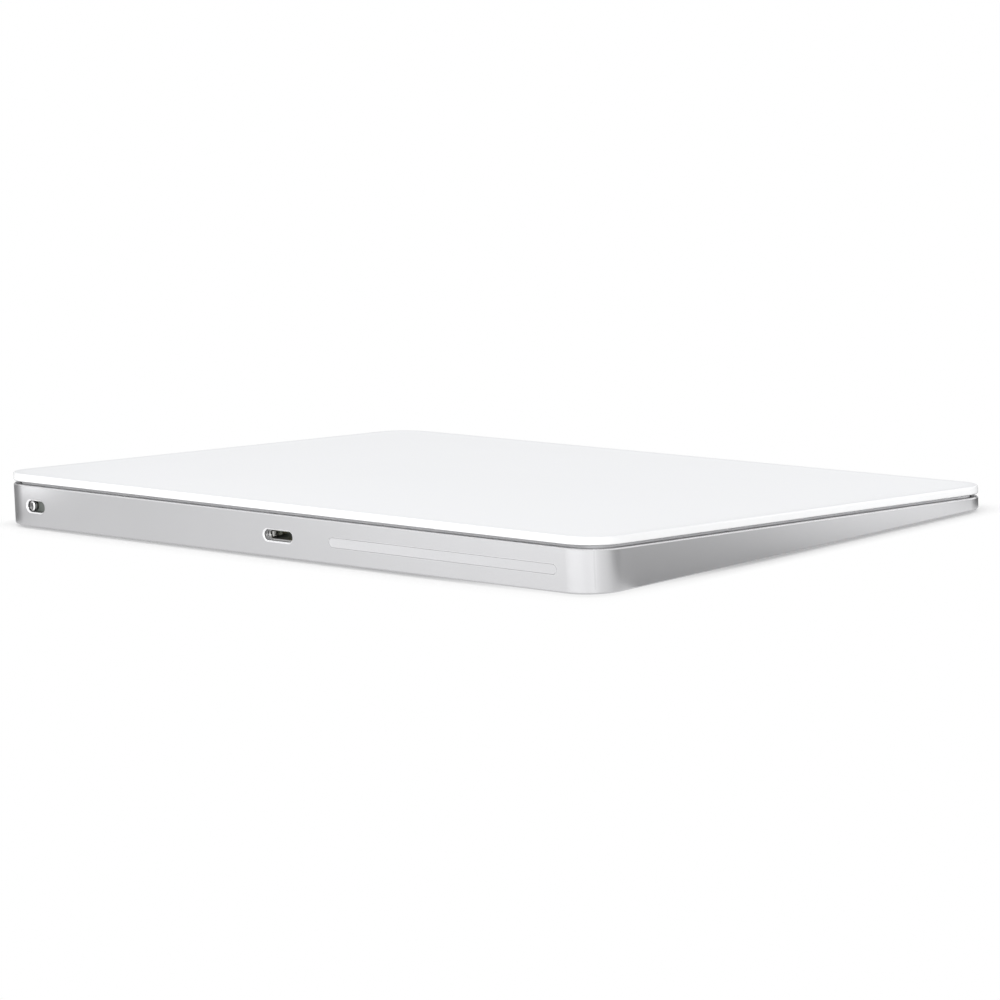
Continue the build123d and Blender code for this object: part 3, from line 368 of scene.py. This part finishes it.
def enclosure_aluminium(name, look):
    """Blasted aluminium with brighter cut edges and milled surfaces inside"""
    f = Finish(name)
    colour, roughness, height, grain = blasted(f, look)
    up = f.facing(SLOPE_UP)
    depth = f.below_glass()
    rim = (depth > RIM_CUT[0]) * (depth < RIM_CUT[1]) * up.ramp(0.12, 0.4)
    port = f.outside_slot(*PORT_OUTLINE)
    switch = f.outside_slot(*SWITCH_OUTLINE)
    outer = (f.y > REAR_FACE_Y) * f.facing((0.0, 1.0, 0.0)).ramp(0.3, 0.5)
    # The chamfers round the port and switch are real; their paler, less metallic colour is a painted
    # highlight
    lip_with_painted_highlight = (port.lowest(switch) < LIP_HIGHLIGHT_REACH) * outer
    # Painted highlight: a pale band on the flat face round the window
    painted_window_highlight = (f.outside_slot(*WINDOW_OUTLINE) < WINDOW_HIGHLIGHT_REACH) * outer
    cut = (rim * (1 - up.ramp(0.9, 0.96))).highest(lip_with_painted_highlight * 0.75).highest(painted_window_highlight * 0.4)
    turned = f.noise(0.05 * MM, detail=1.0, scale=(1.0, 1.0, 0.08))
    wall_room = (INNER_HALF_WIDTH - abs(f.x)).lowest(INNER_HALF_DEPTH - abs(f.y))
    inside = (wall_room > 0.0) * (f.z > INNER_FLOOR_Z)
    paths = (f.y + f.noise(4 * MM) * (0.2 * MM)).waves(0.55 * MM)
    milled = f.mix(paths * 0.6 + grain * 0.4, shade(look.colour, 0.9), shade(look.colour, 1.1))
    colour = f.mix(inside, colour, milled)
    colour = f.mix(cut, colour, f.mix(turned, shade(look.chamfer_and_highlight_colour, 0.96), look.chamfer_and_highlight_colour))
    roughness = roughness + cut * (look.chamfer_roughness - look.roughness) + inside * (paths * 0.08 - 0.1)
    relief = f.bump(height, look.relief, f.wall_normal(1 - lip_with_painted_highlight))
    relief = f.bump(paths * inside, 4 * MICRON, relief)
    return f.surface(colour, roughness, 1 - lip_with_painted_highlight * 0.7, relief)


def white_glass(name, look):
    """Etched white glass with a polished edge and a grey backing underneath"""
    f = Finish(name)
    up = f.facing(SLOPE_UP)
    grain = f.noise(look.grain, detail=2.0)
    cloud = f.noise(30 * MM, detail=2.0)
    top = f.mix(grain * 0.5 + cloud * 0.5, shade(look.colour, 0.985), shade(look.colour, 1.015))
    edge = 1 - up.ramp(0.55, 0.98)
    # Painted shade: the outer strip of the top and the lower part of the edge are made darker
    painted_margin_shade = 1 - f.inside_outline().ramp(*GLASS_MARGIN_SHADE)
    backing = f.below_glass().ramp(*GLASS_EDGE_SHADE)
    rim = f.mix(backing, look.edge_colour, shade(look.edge_colour, 0.93))
    colour = f.mix(edge, f.mix(painted_margin_shade, top, shade(look.colour, 0.93)), rim)
    ink = f.mix(f.cells(0.6 * MM), (0.30, 0.30, 0.31), (0.36, 0.36, 0.37))
    colour = f.mix(up < -0.5, colour, ink)
    etched = look.roughness - 0.02 + grain * 0.03 + cloud * 0.02
    roughness = etched + edge * (look.edge_roughness - look.roughness)
    relief = f.bump(grain * (1 - edge), 0.8 * MICRON)
    return f.surface(colour, roughness, 0.0, relief, IOR=1.5)


def moulded(name, colour, grain, roughness=0.5, relief=4 * MICRON, spread=0.05, **constants):
    """Moulded plastic or rubber with an even texture and slight clouding"""
    f = Finish(name)
    fine = f.noise(grain, detail=3.0)
    pores = f.cells(grain * 2.2)
    cloud = f.noise(9 * MM, detail=2.0)
    tone = f.mix(fine * 0.5 + cloud * 0.5, shade(colour, 1 - spread), shade(colour, 1 + spread))
    dull = roughness - 0.04 + fine * 0.05 + cloud * 0.03
    return f.surface(tone, dull, 0.0, f.bump(fine * 0.6 + pores * 0.4, relief), **constants)


def carrier_plastic(name, colour):
    """Moulded frame under the glass, lighter on its two side walls"""
    f = Finish(name)
    fine = f.noise(0.2 * MM, detail=3.0)
    cloud = f.noise(9 * MM, detail=2.0)
    # Painted light: the walls facing left and right are made lighter
    painted_side_light = abs(f.facing((1.0, 0.0, 0.0))).ramp(0.3, 0.8)
    tone = f.mix(fine * 0.5 + cloud * 0.5, shade(colour, 0.95), shade(colour, 1.05))
    tone = f.mix(painted_side_light, tone, shade(colour, 1.65))
    return f.surface(tone, 0.51 + fine * 0.05 + cloud * 0.03, 0.0, f.bump(fine, 4 * MICRON))


def brushed(name, colour, streaks, roughness=0.3):
    """Rolled or drawn metal; its streaks run where the scale is below 1"""
    f = Finish(name)
    lines = f.noise(0.06 * MM, detail=3.0, scale=streaks)
    cloud = f.noise(6 * MM, detail=3.0)
    stain = f.cells(3 * MM).ramp(0.0, 0.6)
    tone = f.mix(lines * 0.6 + cloud * 0.4, shade(colour, 0.86), shade(colour, 1.12))
    tone = f.mix(stain * 0.25, shade(colour, 0.92), tone)
    dull = roughness - 0.06 + lines * 0.1 + cloud * 0.05
    return f.surface(tone, dull, 1.0, f.bump(lines, 2 * MICRON))


def dished_knob(name):
    """Polished knob with a bright cut rim round a shallow dish"""
    f = Finish(name)
    lines = f.noise(0.06 * MM, detail=3.0, scale=(1.0, 1.0, 0.1))
    across = f.x - KNOB_X
    rise = f.z - REAR_LINE_Z
    dish = (across * across + rise * rise) / KNOB_DISH**2
    face = f.facing((0.0, 1.0, 0.0)).ramp(0.9, 0.98)
    rim = (f.y > KNOB_RIM_Y) * (1 - face)
    foot = 1 - f.y.ramp(*KNOB_FOOT_SHADE_Y)
    # The darker face is a painted dark reflection, the pale, less metallic rim a painted highlight, and the
    # near-black foot painted shade where the knob meets the slider plate
    tone = f.mix(lines, (0.62, 0.62, 0.63), (0.82, 0.82, 0.83))
    tone = f.mix(face, tone, (0.25, 0.25, 0.25))
    tone = f.mix(rim, tone, (0.92, 0.92, 0.92))
    tone = f.mix(foot, tone, (0.05, 0.05, 0.05))
    relief = f.bump(dish * face, 0.12 * MM, f.bump(lines, 1 * MICRON))
    return f.surface(tone, 0.26 + lines * 0.06, 1 - rim * 0.6, relief)


def wound_copper(name):
    """Enamelled wire, one turn beside the next round each bore"""
    f = Finish(name)
    from_side = abs(abs(f.x) - COIL_X) - COIL_BORE_HALF_WIDTH
    from_end = abs(f.y - COIL_Y) - COIL_BORE_HALF_LENGTH
    turn = from_side.highest(from_end).waves(WIRE)
    layer = f.z.waves(WIRE)
    rise = turn * 0.7 + layer * 0.3
    # The tone darkens in the grooves between turns and lightens on their crests: painted shade and painted
    # highlight
    tone = f.mix(rise, (0.30, 0.10, 0.04), (0.86, 0.42, 0.22))
    tone = f.mix(f.noise(0.8 * MM) * 0.3, tone, (0.55, 0.20, 0.08))
    return f.surface(tone, 0.22 + rise * 0.1, 0.9, f.bump(rise, 30 * MICRON))


def circuit_board(name):
    """Solder mask with buried tracks, vias and gold pads"""
    f = Finish(name)
    weave = f.x.waves(0.4 * MM) * f.y.waves(0.4 * MM)
    cell = f.node(
        "ShaderNodeTexBrick",
        {"offset": 0.5},
        {
            "Vector": f.place,
            "Scale": 1.0,
            "Brick Width": 5.2 * MM,
            "Row Height": 0.62 * MM,
            "Mortar Size": 0.09 * MM,
            "Mortar Smooth": 0.3,
        },
    )
    track = Value(f, cell.outputs["Fac"])
    via = 1 - f.cells(2.4 * MM).ramp(0.07, 0.11)
    mask = f.mix(weave * 0.4 + f.noise(3 * MM) * 0.6, (0.010, 0.050, 0.032), (0.020, 0.085, 0.055))
    tone = f.mix(track * 0.7, mask, (0.045, 0.17, 0.10))
    tone = f.mix(via, tone, (0.80, 0.58, 0.25))
    relief = f.bump(track * 0.5 + via * 0.5, 20 * MICRON)
    return f.surface(tone, 0.34 - via * 0.1 + f.noise(0.3 * MM) * 0.06, via, relief, IOR=1.5)


def chip_body(name):
    """Moulded chip bodies with a fine laser-dull top"""
    f = Finish(name)
    fine = f.noise(0.05 * MM, detail=3.0)
    dull = f.cells(0.9 * MM).ramp(0.2, 0.5)
    tone = f.mix(fine * 0.5 + dull * 0.3, (0.022, 0.022, 0.024), (0.060, 0.060, 0.064))
    return f.surface(tone, 0.5 + fine * 0.1 - dull * 0.08, 0.0, f.bump(fine, 3 * MICRON))


def contact_strip(name, colour):
    """Connector plastic with a row of small gold contacts along its edges"""
    f = Finish(name)
    fine = f.noise(0.08 * MM, detail=2.0)
    up = f.facing((0.0, 0.0, 1.0))
    row = f.x.waves(0.35 * MM).ramp(0.55, 0.75) * up.ramp(0.5, 0.8)
    field = f.noise(1.1 * MM, detail=0.0).ramp(0.52, 0.56)
    gold = row * field
    tone = f.mix(fine, shade(colour, 0.8), shade(colour, 1.25))
    tone = f.mix(gold, tone, (0.82, 0.60, 0.26))
    return f.surface(tone, 0.45 - gold * 0.2 + fine * 0.05, gold, f.bump(gold, 15 * MICRON))


def flex_film(name):
    """Amber film with copper tracks running in it"""
    f = Finish(name)
    track = f.x.waves(0.5 * MM).ramp(0.35, 0.65)
    cloud = f.noise(4 * MM, detail=3.0)
    film = f.mix(cloud, (0.36, 0.155, 0.030), (0.50, 0.235, 0.050))
    tone = f.mix(track * 0.6, film, (0.62, 0.30, 0.10))
    return f.surface(tone, 0.30 + cloud * 0.08, track * 0.4, f.bump(track, 12 * MICRON))


def damping_gel(name):
    """Soft, slightly cloudy gel"""
    f = Finish(name)
    cloud = f.noise(1.2 * MM, detail=3.0)
    bubble = 1 - f.cells(0.7 * MM).ramp(0.05, 0.12)
    tone = f.mix(cloud, (0.34, 0.42, 0.52), (0.50, 0.58, 0.66))
    tone = f.mix(bubble * 0.6, tone, (0.80, 0.85, 0.90))
    return f.surface(tone, 0.28 + cloud * 0.1, 0.0, f.bump(cloud, 30 * MICRON), IOR=1.42)


def machine_screw(name):
    """Plain steel screws with fine turned rings"""
    f = Finish(name)
    fine = f.noise(0.04 * MM, detail=3.0)
    ring = f.z.waves(0.25 * MM)
    soil = f.noise(1.4 * MM, detail=2.0)
    tone = f.mix(fine * 0.5 + soil * 0.5, (0.34, 0.34, 0.345), (0.60, 0.60, 0.60))
    return f.surface(tone, 0.26 + fine * 0.1, 1.0, f.bump(ring * 0.6 + fine * 0.4, 6 * MICRON))


def cell_wrap(name):
    """Black film drawn over the cells, with soft creases"""
    f = Finish(name)
    crease = f.noise(7 * MM, detail=4.0, scale=(1.0, 1.6, 1.0))
    fine = f.noise(0.25 * MM, detail=2.0)
    tone = f.mix(crease * 0.7 + fine * 0.3, (0.030, 0.030, 0.034), (0.085, 0.085, 0.092))
    relief = f.bump(fine, 2 * MICRON, f.bump(crease, 160 * MICRON))
    return f.surface(tone, 0.30 + crease * 0.16, 0.0, relief, IOR=1.5)


def adhesive_film(name):
    """Thin adhesive with trapped bubbles"""
    f = Finish(name)
    cloud = f.noise(2.5 * MM, detail=3.0)
    bubble = 1 - f.cells(1.1 * MM).ramp(0.08, 0.2)
    tone = f.mix(cloud, (0.52, 0.50, 0.44), (0.62, 0.60, 0.54))
    tone = f.mix(bubble * 0.5, tone, (0.78, 0.77, 0.73))
    return f.surface(tone, 0.34 + cloud * 0.14, 0.0, f.bump(bubble, 10 * MICRON))


def assign(material, *nodes):
    """Gives CAD nodes their finish"""
    for name in nodes:
        mesh = frame["nodes"][name].data
        mesh.materials.clear()
        mesh.materials.append(material)


# Operators, one for each group of pieces


class TRACKPAD_OT_enclosure(Operator):
    """Finish the aluminium enclosure and the bottom cover"""

    bl_idname = "trackpad.enclosure"
    bl_label = "Enclosure"

    def execute(self, context):
        look = context.scene.trackpad_metal
        assign(enclosure_aluminium("aluminium_blasted", look), "enclosure")
        assign(cover_aluminium("cover_aluminium", look), "bottom_cover")
        return {"FINISHED"}


class TRACKPAD_OT_touch_plate(Operator):
    """Finish the glass plate and the frame under it"""

    bl_idname = "trackpad.touch_plate"
    bl_label = "Touch plate"

    def execute(self, context):
        assign(white_glass("white_glass", context.scene.trackpad_glass), "glass_plate")
        carrier = context.scene.trackpad_plastic.carrier
        assign(carrier_plastic("carrier_plastic", carrier), "carrier_frame")
        assign(brushed("stiffener_steel", (0.50, 0.50, 0.50), (0.05, 1.0, 1.0)), "stiffener_plate")
        return {"FINISHED"}


class TRACKPAD_OT_antenna(Operator):
    """Finish the antenna window and its film"""

    bl_idname = "trackpad.antenna"
    bl_label = "Antenna"

    def execute(self, context):
        colour = context.scene.trackpad_plastic.window
        window = moulded("window_plastic", colour, 0.14 * MM, relief=2 * MICRON, spread=0.03)
        assign(window, "antenna_window")
        assign(flex_film("antenna_film"), "antenna_film", "antenna_flex")
        return {"FINISHED"}


class TRACKPAD_OT_port(Operator):
    """Finish the port: shell, insulator, contacts and latch springs"""

    bl_idname = "trackpad.port"
    bl_label = "Port"

    def execute(self, context):
        assign(brushed("port_steel", (0.62, 0.62, 0.61), (1.0, 0.06, 1.0), 0.28), "port_shell")
        assign(brushed("spring_steel", (0.70, 0.70, 0.68), (1.0, 0.06, 1.0), 0.25), "port_latch_springs")
        assign(moulded("port_plastic", (0.34, 0.38, 0.32), 0.1 * MM), "port_insulator")
        assign(brushed("contact_gold", (0.83, 0.60, 0.25), (1.0, 0.1, 1.0), 0.24), "port_contacts")
        assign(brushed("strap_steel", (0.52, 0.52, 0.51), (0.06, 1.0, 1.0)), "port_strap")
        return {"FINISHED"}


class TRACKPAD_OT_switch(Operator):
    """Finish the power switch: knob, slider plate, housing and bracket"""

    bl_idname = "trackpad.switch"
    bl_label = "Power switch"

    def execute(self, context):
        assign(dished_knob("knob_metal"), "switch_knob")
        colour = context.scene.trackpad_plastic.slider
        slider = moulded("slider_plastic", colour, 0.12 * MM, roughness=0.4, relief=2 * MICRON)
        assign(slider, "slider_plate")
        assign(moulded("housing_plastic", (0.05, 0.05, 0.055), 0.16 * MM, roughness=0.45), "switch_body")
        assign(brushed("bracket_steel", (0.54, 0.54, 0.53), (0.06, 1.0, 1.0)), "switch_bracket")
        return {"FINISHED"}


class TRACKPAD_OT_feet(Operator):
    """Finish the four soft feet and the adhesives"""

    bl_idname = "trackpad.feet"
    bl_label = "Feet and adhesives"

    def execute(self, context):
        colour = context.scene.trackpad_plastic.foot
        texture = {"grain": 0.3 * MM, "roughness": 0.78, "relief": 12 * MICRON, "spread": 0.06}
        assign(moulded("foot_rubber", colour, **texture, Specular_IOR_Level=0.3), "feet")
        assign(adhesive_film("clear_adhesive"), "cover_adhesive", "battery_tape")
        return {"FINISHED"}


class TRACKPAD_OT_electronics(Operator):
    """Finish boards, chips, cans, connectors and flexes"""

    bl_idname = "trackpad.electronics"
    bl_label = "Electronics"

    def execute(self, context):
        assign(circuit_board("circuit_board"), "sensor_board", "main_board", "battery_guard_board")
        assign(chip_body("chip_black"), "sensor_chips", "board_chips", "strain_gauges")
        assign(contact_strip("connector_plastic", (0.055, 0.055, 0.06)), "board_connectors")
        assign(brushed("can_steel", (0.58, 0.58, 0.57), (0.05, 1.0, 1.0), 0.32), "shield_cans")
        flexes = ("sensor_flex", "haptic_flex", "battery_flex", "port_flex", "switch_flex")
        assign(flex_film("flex_circuit"), *flexes)
        return {"FINISHED"}


class TRACKPAD_OT_drive(Operator):
    """Finish the force beams, gel pads, haptic drive and screws"""

    bl_idname = "trackpad.drive"
    bl_label = "Force beams and haptic drive"

    def execute(self, context):
        assign(brushed("beam_steel", (0.56, 0.56, 0.55), (0.05, 1.0, 1.0)), "force_beams", "haptic_base")
        assign(damping_gel("gel"), "gel_pads")
        iron = brushed("soft_iron", (0.30, 0.30, 0.305), (0.2, 1.0, 1.0), 0.42)
        assign(iron, "attraction_plate", "haptic_cores")
        assign(wound_copper("copper_winding"), "haptic_coils")
        screws = ("beam_screws", "haptic_screws", "board_screws", "port_screws", "switch_screws")
        assign(machine_screw("screw_steel"), *screws)
        return {"FINISHED"}


class TRACKPAD_OT_battery(Operator):
    """Finish the two battery cells"""

    bl_idname = "trackpad.battery"
    bl_label = "Battery"

    def execute(self, context):
        assign(cell_wrap("cell_pouch"), "battery_cells")
        return {"FINISHED"}


# Studio


# Camera: its turn round the part from the front, its rise and its roll; how far back, aside and above it
# stands from the middle of the enclosure's underside, which is at its base height; its lens and its range
CAMERA_AZIMUTH = radians(223.627)
CAMERA_ELEVATION = radians(8.823)
CAMERA_ROLL = radians(-2.199)
CAMERA_DISTANCE = 854.13 * MM
CAMERA_ASIDE = 2.190 * MM
CAMERA_ABOVE = 2.838 * MM
CAMERA_BASE = 0.5 * MM
CAMERA_LENS = 156.36
CAMERA_SENSOR = 36.0
CAMERA_RANGE = (0.01, 100.0)

# Floor: its number of corners; how far its shade reaches from the outline, and how many times sooner it ends
# beyond the left and right; how far the painted light round the near corner reaches, and its share of white;
# where the floor turns white in reflections, and its least share of white there
FLOOR_CORNERS = 96
SHADE_REACH = 7.0 * MM
SIDE_FACTOR = 1.4
PAINTED_LIGHT_STRETCH = (8.0 * MM, 50.0 * MM)
PAINTED_LIGHT_SHARE = 0.55
MIRRORED_STRETCH = (-1 * MM, 2 * MM)
MIRRORED_LEAST = 0.4

# Cards, which paint dark reflections into the metal: their height over the floor, the darkest share of their
# tone, and the direction in which each kind thins out, with the places where it is clear and where it is
# full
CARD_LIFT = 0.3 * MM
DARKEST_TONE_SHARE = 0.8
SIDE_FADE = ("y", -0.100, 0.005)
FRONT_FADE = ("x", -0.030, -0.075)
RIGHT_FADE = ("y", -0.020, 0.055)

# Name, brightness, two opposite corners and fade of each card; a level card and an upright one go together
CARDS = (
    ("side_floor_card", 0.42, (-0.150, -0.100, CARD_LIFT), (-0.0805, 0.046, CARD_LIFT), SIDE_FADE),
    ("side_card", 0.30, (-0.150, -0.100, CARD_LIFT), (-0.150, 0.046, 0.10), SIDE_FADE),
    ("front_floor_card", 0.02, (-0.100, -0.090, CARD_LIFT), (-0.030, -0.058, CARD_LIFT), FRONT_FADE),
    ("front_card", 0.02, (-0.110, -0.090, CARD_LIFT), (-0.030, -0.090, 0.014), FRONT_FADE),
    ("right_floor_card", 0.28, (0.0805, -0.020, CARD_LIFT), (0.110, 0.067, CARD_LIFT), RIGHT_FADE),
    ("right_card", 0.28, (0.110, -0.020, CARD_LIFT), (0.110, 0.078, 0.03), RIGHT_FADE),
)

# Name, place, target, width, height and power of each soft lamp
LAMPS = (
    ("rear_wide_panel", (-0.06, 0.50, 0.10), (-0.06, 0.05, 0.005), 0.50, 0.15, 0.89),
    ("rear_near_strip", (0.02, 0.17, 0.03), (-0.04, 0.057, 0.005), 0.08, 0.04, 0.0237),
    ("rear_end_spot", (0.079, 0.067, 0.0075), (0.0705, 0.0575, 0.006), 0.006, 0.004, 0.00016),
    ("corner_panel", (-0.64, 0.30, 0.14), (-0.078, 0.055, 0.005), 0.30, 0.20, 0.23),
    ("corner_low_strip", (-0.60, 0.58, 0.05), (-0.075, 0.055, 0.004), 0.10, 0.05, 0.427),
    ("left_low_strip", (-0.55, 0.02, 0.05), (-0.078, 0.03, 0.006), 0.25, 0.06, 0.082),
    ("front_left_strip", (-0.21, -0.19, 0.03), (-0.08, -0.05, 0.005), 0.08, 0.05, 0.036),
    ("front_left_spot", (-0.16, -0.13, 0.02), (-0.08, -0.05, 0.005), 0.05, 0.03, 0.0210),
)


def make_camera(scene):
    """The camera that was fitted to the photograph"""
    back = Vector(
        (
            sin(CAMERA_AZIMUTH) * cos(CAMERA_ELEVATION),
            -cos(CAMERA_AZIMUTH) * cos(CAMERA_ELEVATION),
            sin(CAMERA_ELEVATION),
        )
    )
    right = (-back).cross(Vector((0.0, 0.0, 1.0))).normalized()
    up = right.cross(-back)
    data = bpy.data.cameras.new("camera")
    data.lens = CAMERA_LENS
    data.sensor_width = CAMERA_SENSOR
    data.clip_start, data.clip_end = CAMERA_RANGE
    camera = bpy.data.objects.new("camera", data)
    place = back * CAMERA_DISTANCE + right * CAMERA_ASIDE + up * CAMERA_ABOVE
    turned_right = right * cos(CAMERA_ROLL) + up * sin(CAMERA_ROLL)
    turned_up = up * cos(CAMERA_ROLL) - right * sin(CAMERA_ROLL)
    axes = Matrix((turned_right, turned_up, back)).transposed().to_4x4()
    camera.matrix_world = Matrix.Translation(place + Vector((0.0, 0.0, CAMERA_BASE))) @ axes
    scene.collection.objects.link(camera)
    scene.camera = camera


def make_lamps(scene):
    """Soft lamps, each turned to its target"""
    for name, place, target, width, height, power in LAMPS:
        data = bpy.data.lights.new(name, "AREA")
        data.shape = "RECTANGLE"
        data.size = width
        data.size_y = height
        data.energy = power
        lamp = bpy.data.objects.new(name, data)
        lamp.visible_camera = False
        lamp.location = place
        lamp.rotation_euler = (Vector(target) - Vector(place)).to_track_quat("-Z", "Y").to_euler()
        scene.collection.objects.link(lamp)


def make_world(scene, surround):
    """Plain white surroundings"""
    world = bpy.data.worlds.new("surroundings")
    world.use_nodes = True
    background = world.node_tree.nodes["Background"].inputs
    background["Color"].default_value = (1.0, 1.0, 1.0, 1.0)
    background["Strength"].default_value = surround
    scene.world = world


def make_sheet(scene, name, corners, material):
    """A flat sheet with the given corners"""
    mesh = bpy.data.meshes.new(name)
    mesh.from_pydata(corners, [], [tuple(range(len(corners)))])
    mesh.materials.append(material)
    sheet = bpy.data.objects.new(name, mesh)
    scene.collection.objects.link(sheet)
    return sheet


def floor_paper(look):
    """Matt floor that shows as plain white away from the part, to the camera and in reflections"""
    f = Finish("floor")
    light = f.node("ShaderNodeLightPath").outputs
    seen = Value(f, light["Is Camera Ray"])
    mirrored = Value(f, light["Is Glossy Ray"]) + Value(f, light["Is Transmission Ray"])
    cloud = f.noise(0.4)
    paper = f.mix(cloud, shade(look.floor_colour, 0.99), shade(look.floor_colour, 1.01))
    lit = f.node("ShaderNodeBsdfDiffuse", {}, {"Color": paper})
    glow = f.node("ShaderNodeEmission", {}, {"Color": (1.0, 1.0, 1.0), "Strength": 1.0})
    away = (abs(f.x) - HALF_WIDTH).highest(abs(f.y) - HALF_DEPTH)
    # Painted light: extra white on the floor round the near corner, to the camera and in reflections
    painted_corner_light = 1 - f.distance(NEAR_CORNER).ramp(*PAINTED_LIGHT_STRETCH)
    least = painted_corner_light * PAINTED_LIGHT_SHARE + look.floor_glow
    shaded = ((abs(f.x) - HALF_WIDTH) * SIDE_FACTOR).highest(abs(f.y) - HALF_DEPTH)
    share = shaded.ramp(0.0, SHADE_REACH) * (1 - least) + least
    open_floor = away.ramp(*MIRRORED_STRETCH).highest(painted_corner_light)
    mirrored_share = open_floor * (1 - MIRRORED_LEAST) + MIRRORED_LEAST
    plain = (seen * share + mirrored * mirrored_share).lowest(1.0)
    return f.blend(plain, lit, glow)


def make_floor(scene, look):
    """A wide round floor under the part"""
    turns = [tau * i / FLOOR_CORNERS for i in range(FLOOR_CORNERS)]
    corners = [(look.floor_radius * cos(turn), look.floor_radius * sin(turn), 0.0) for turn in turns]
    floor = make_sheet(scene, "floor", corners, floor_paper(look))


def painted_reflection_card(name, brightness, fade):
    """Felt that thins out to nothing along one direction"""
    f = Finish(name)
    painted_reflection_tone = f.mix(f.noise(3 * MM), [brightness * DARKEST_TONE_SHARE] * 3, [brightness] * 3)
    painted_reflection_sheet = f.node("ShaderNodeBsdfDiffuse", {}, {"Color": painted_reflection_tone})
    see_through = f.node("ShaderNodeBsdfTransparent", {}, {"Color": (1.0, 1.0, 1.0)})
    direction, clear, full = fade
    place = {"x": f.x, "y": f.y}[direction]
    share = ((place - clear) / (full - clear)).highest(0.0).lowest(1.0)
    return f.blend(share * share, see_through, painted_reflection_sheet)


def card_corners(first, last):
    """Four corners of a level or upright card, in order, from two opposite ones"""
    across, along = (axis for axis in range(3) if first[axis] != last[axis])
    second, fourth = list(first), list(first)
    second[across] = last[across]
    fourth[along] = last[along]
    return [first, second, last, fourth]


def make_cards(scene):
    """Dark cards beside the left side and at two corners; only reflections show them"""
    for name, brightness, first, last, fade in CARDS:
        painted_reflection_tone = painted_reflection_card(name, brightness, fade)
        card = make_sheet(scene, name, card_corners(first, last), painted_reflection_tone)
        card.visible_camera = False
        card.visible_diffuse = False
        card.visible_shadow = False


class TRACKPAD_OT_studio(Operator):
    """Make the camera, the lamps, the surroundings, the floor and the cards"""

    bl_idname = "trackpad.studio"
    bl_label = "Studio"

    def execute(self, context):
        scene = context.scene
        make_camera(scene)
        make_lamps(scene)
        make_world(scene, scene.trackpad_studio.surround)
        make_floor(scene, scene.trackpad_studio)
        make_cards(scene)
        scene.view_settings.view_transform = "Standard"
        return {"FINISHED"}


LOOKS = {
    "trackpad_metal": MetalLook,
    "trackpad_glass": GlassLook,
    "trackpad_plastic": PlasticLook,
    "trackpad_studio": StudioLook,
}
STEPS = (
    TRACKPAD_OT_studio,
    TRACKPAD_OT_enclosure,
    TRACKPAD_OT_touch_plate,
    TRACKPAD_OT_antenna,
    TRACKPAD_OT_port,
    TRACKPAD_OT_switch,
    TRACKPAD_OT_feet,
    TRACKPAD_OT_electronics,
    TRACKPAD_OT_drive,
    TRACKPAD_OT_battery,
)


class TRACKPAD_PT_pieces(Panel):
    """Sidebar panel with the looks and one button for each group of pieces"""

    bl_idname = "TRACKPAD_PT_pieces"
    bl_label = "Trackpad"
    bl_space_type = "VIEW_3D"
    bl_region_type = "UI"
    bl_category = "Trackpad"

    def draw(self, context):
        for name, look in LOOKS.items():
            column = self.layout.column(heading=look.__doc__)
            for key in look.__annotations__:
                column.prop(getattr(context.scene, name), key)
        for step in STEPS:
            self.layout.operator(step.bl_idname)


def register():
    for made in (*LOOKS.values(), *STEPS, TRACKPAD_PT_pieces):
        bpy.utils.register_class(made)
    for name, look in LOOKS.items():
        setattr(bpy.types.Scene, name, PointerProperty(type=look))


def unregister():
    for name in LOOKS:
        delattr(bpy.types.Scene, name)
    for made in reversed((*LOOKS.values(), *STEPS, TRACKPAD_PT_pieces)):
        bpy.utils.unregister_class(made)


def main():
    register()
    for step in STEPS:
        group, name = step.bl_idname.split(".")
        getattr(getattr(bpy.ops, group), name)()


if __name__ == "__main__":
    main()
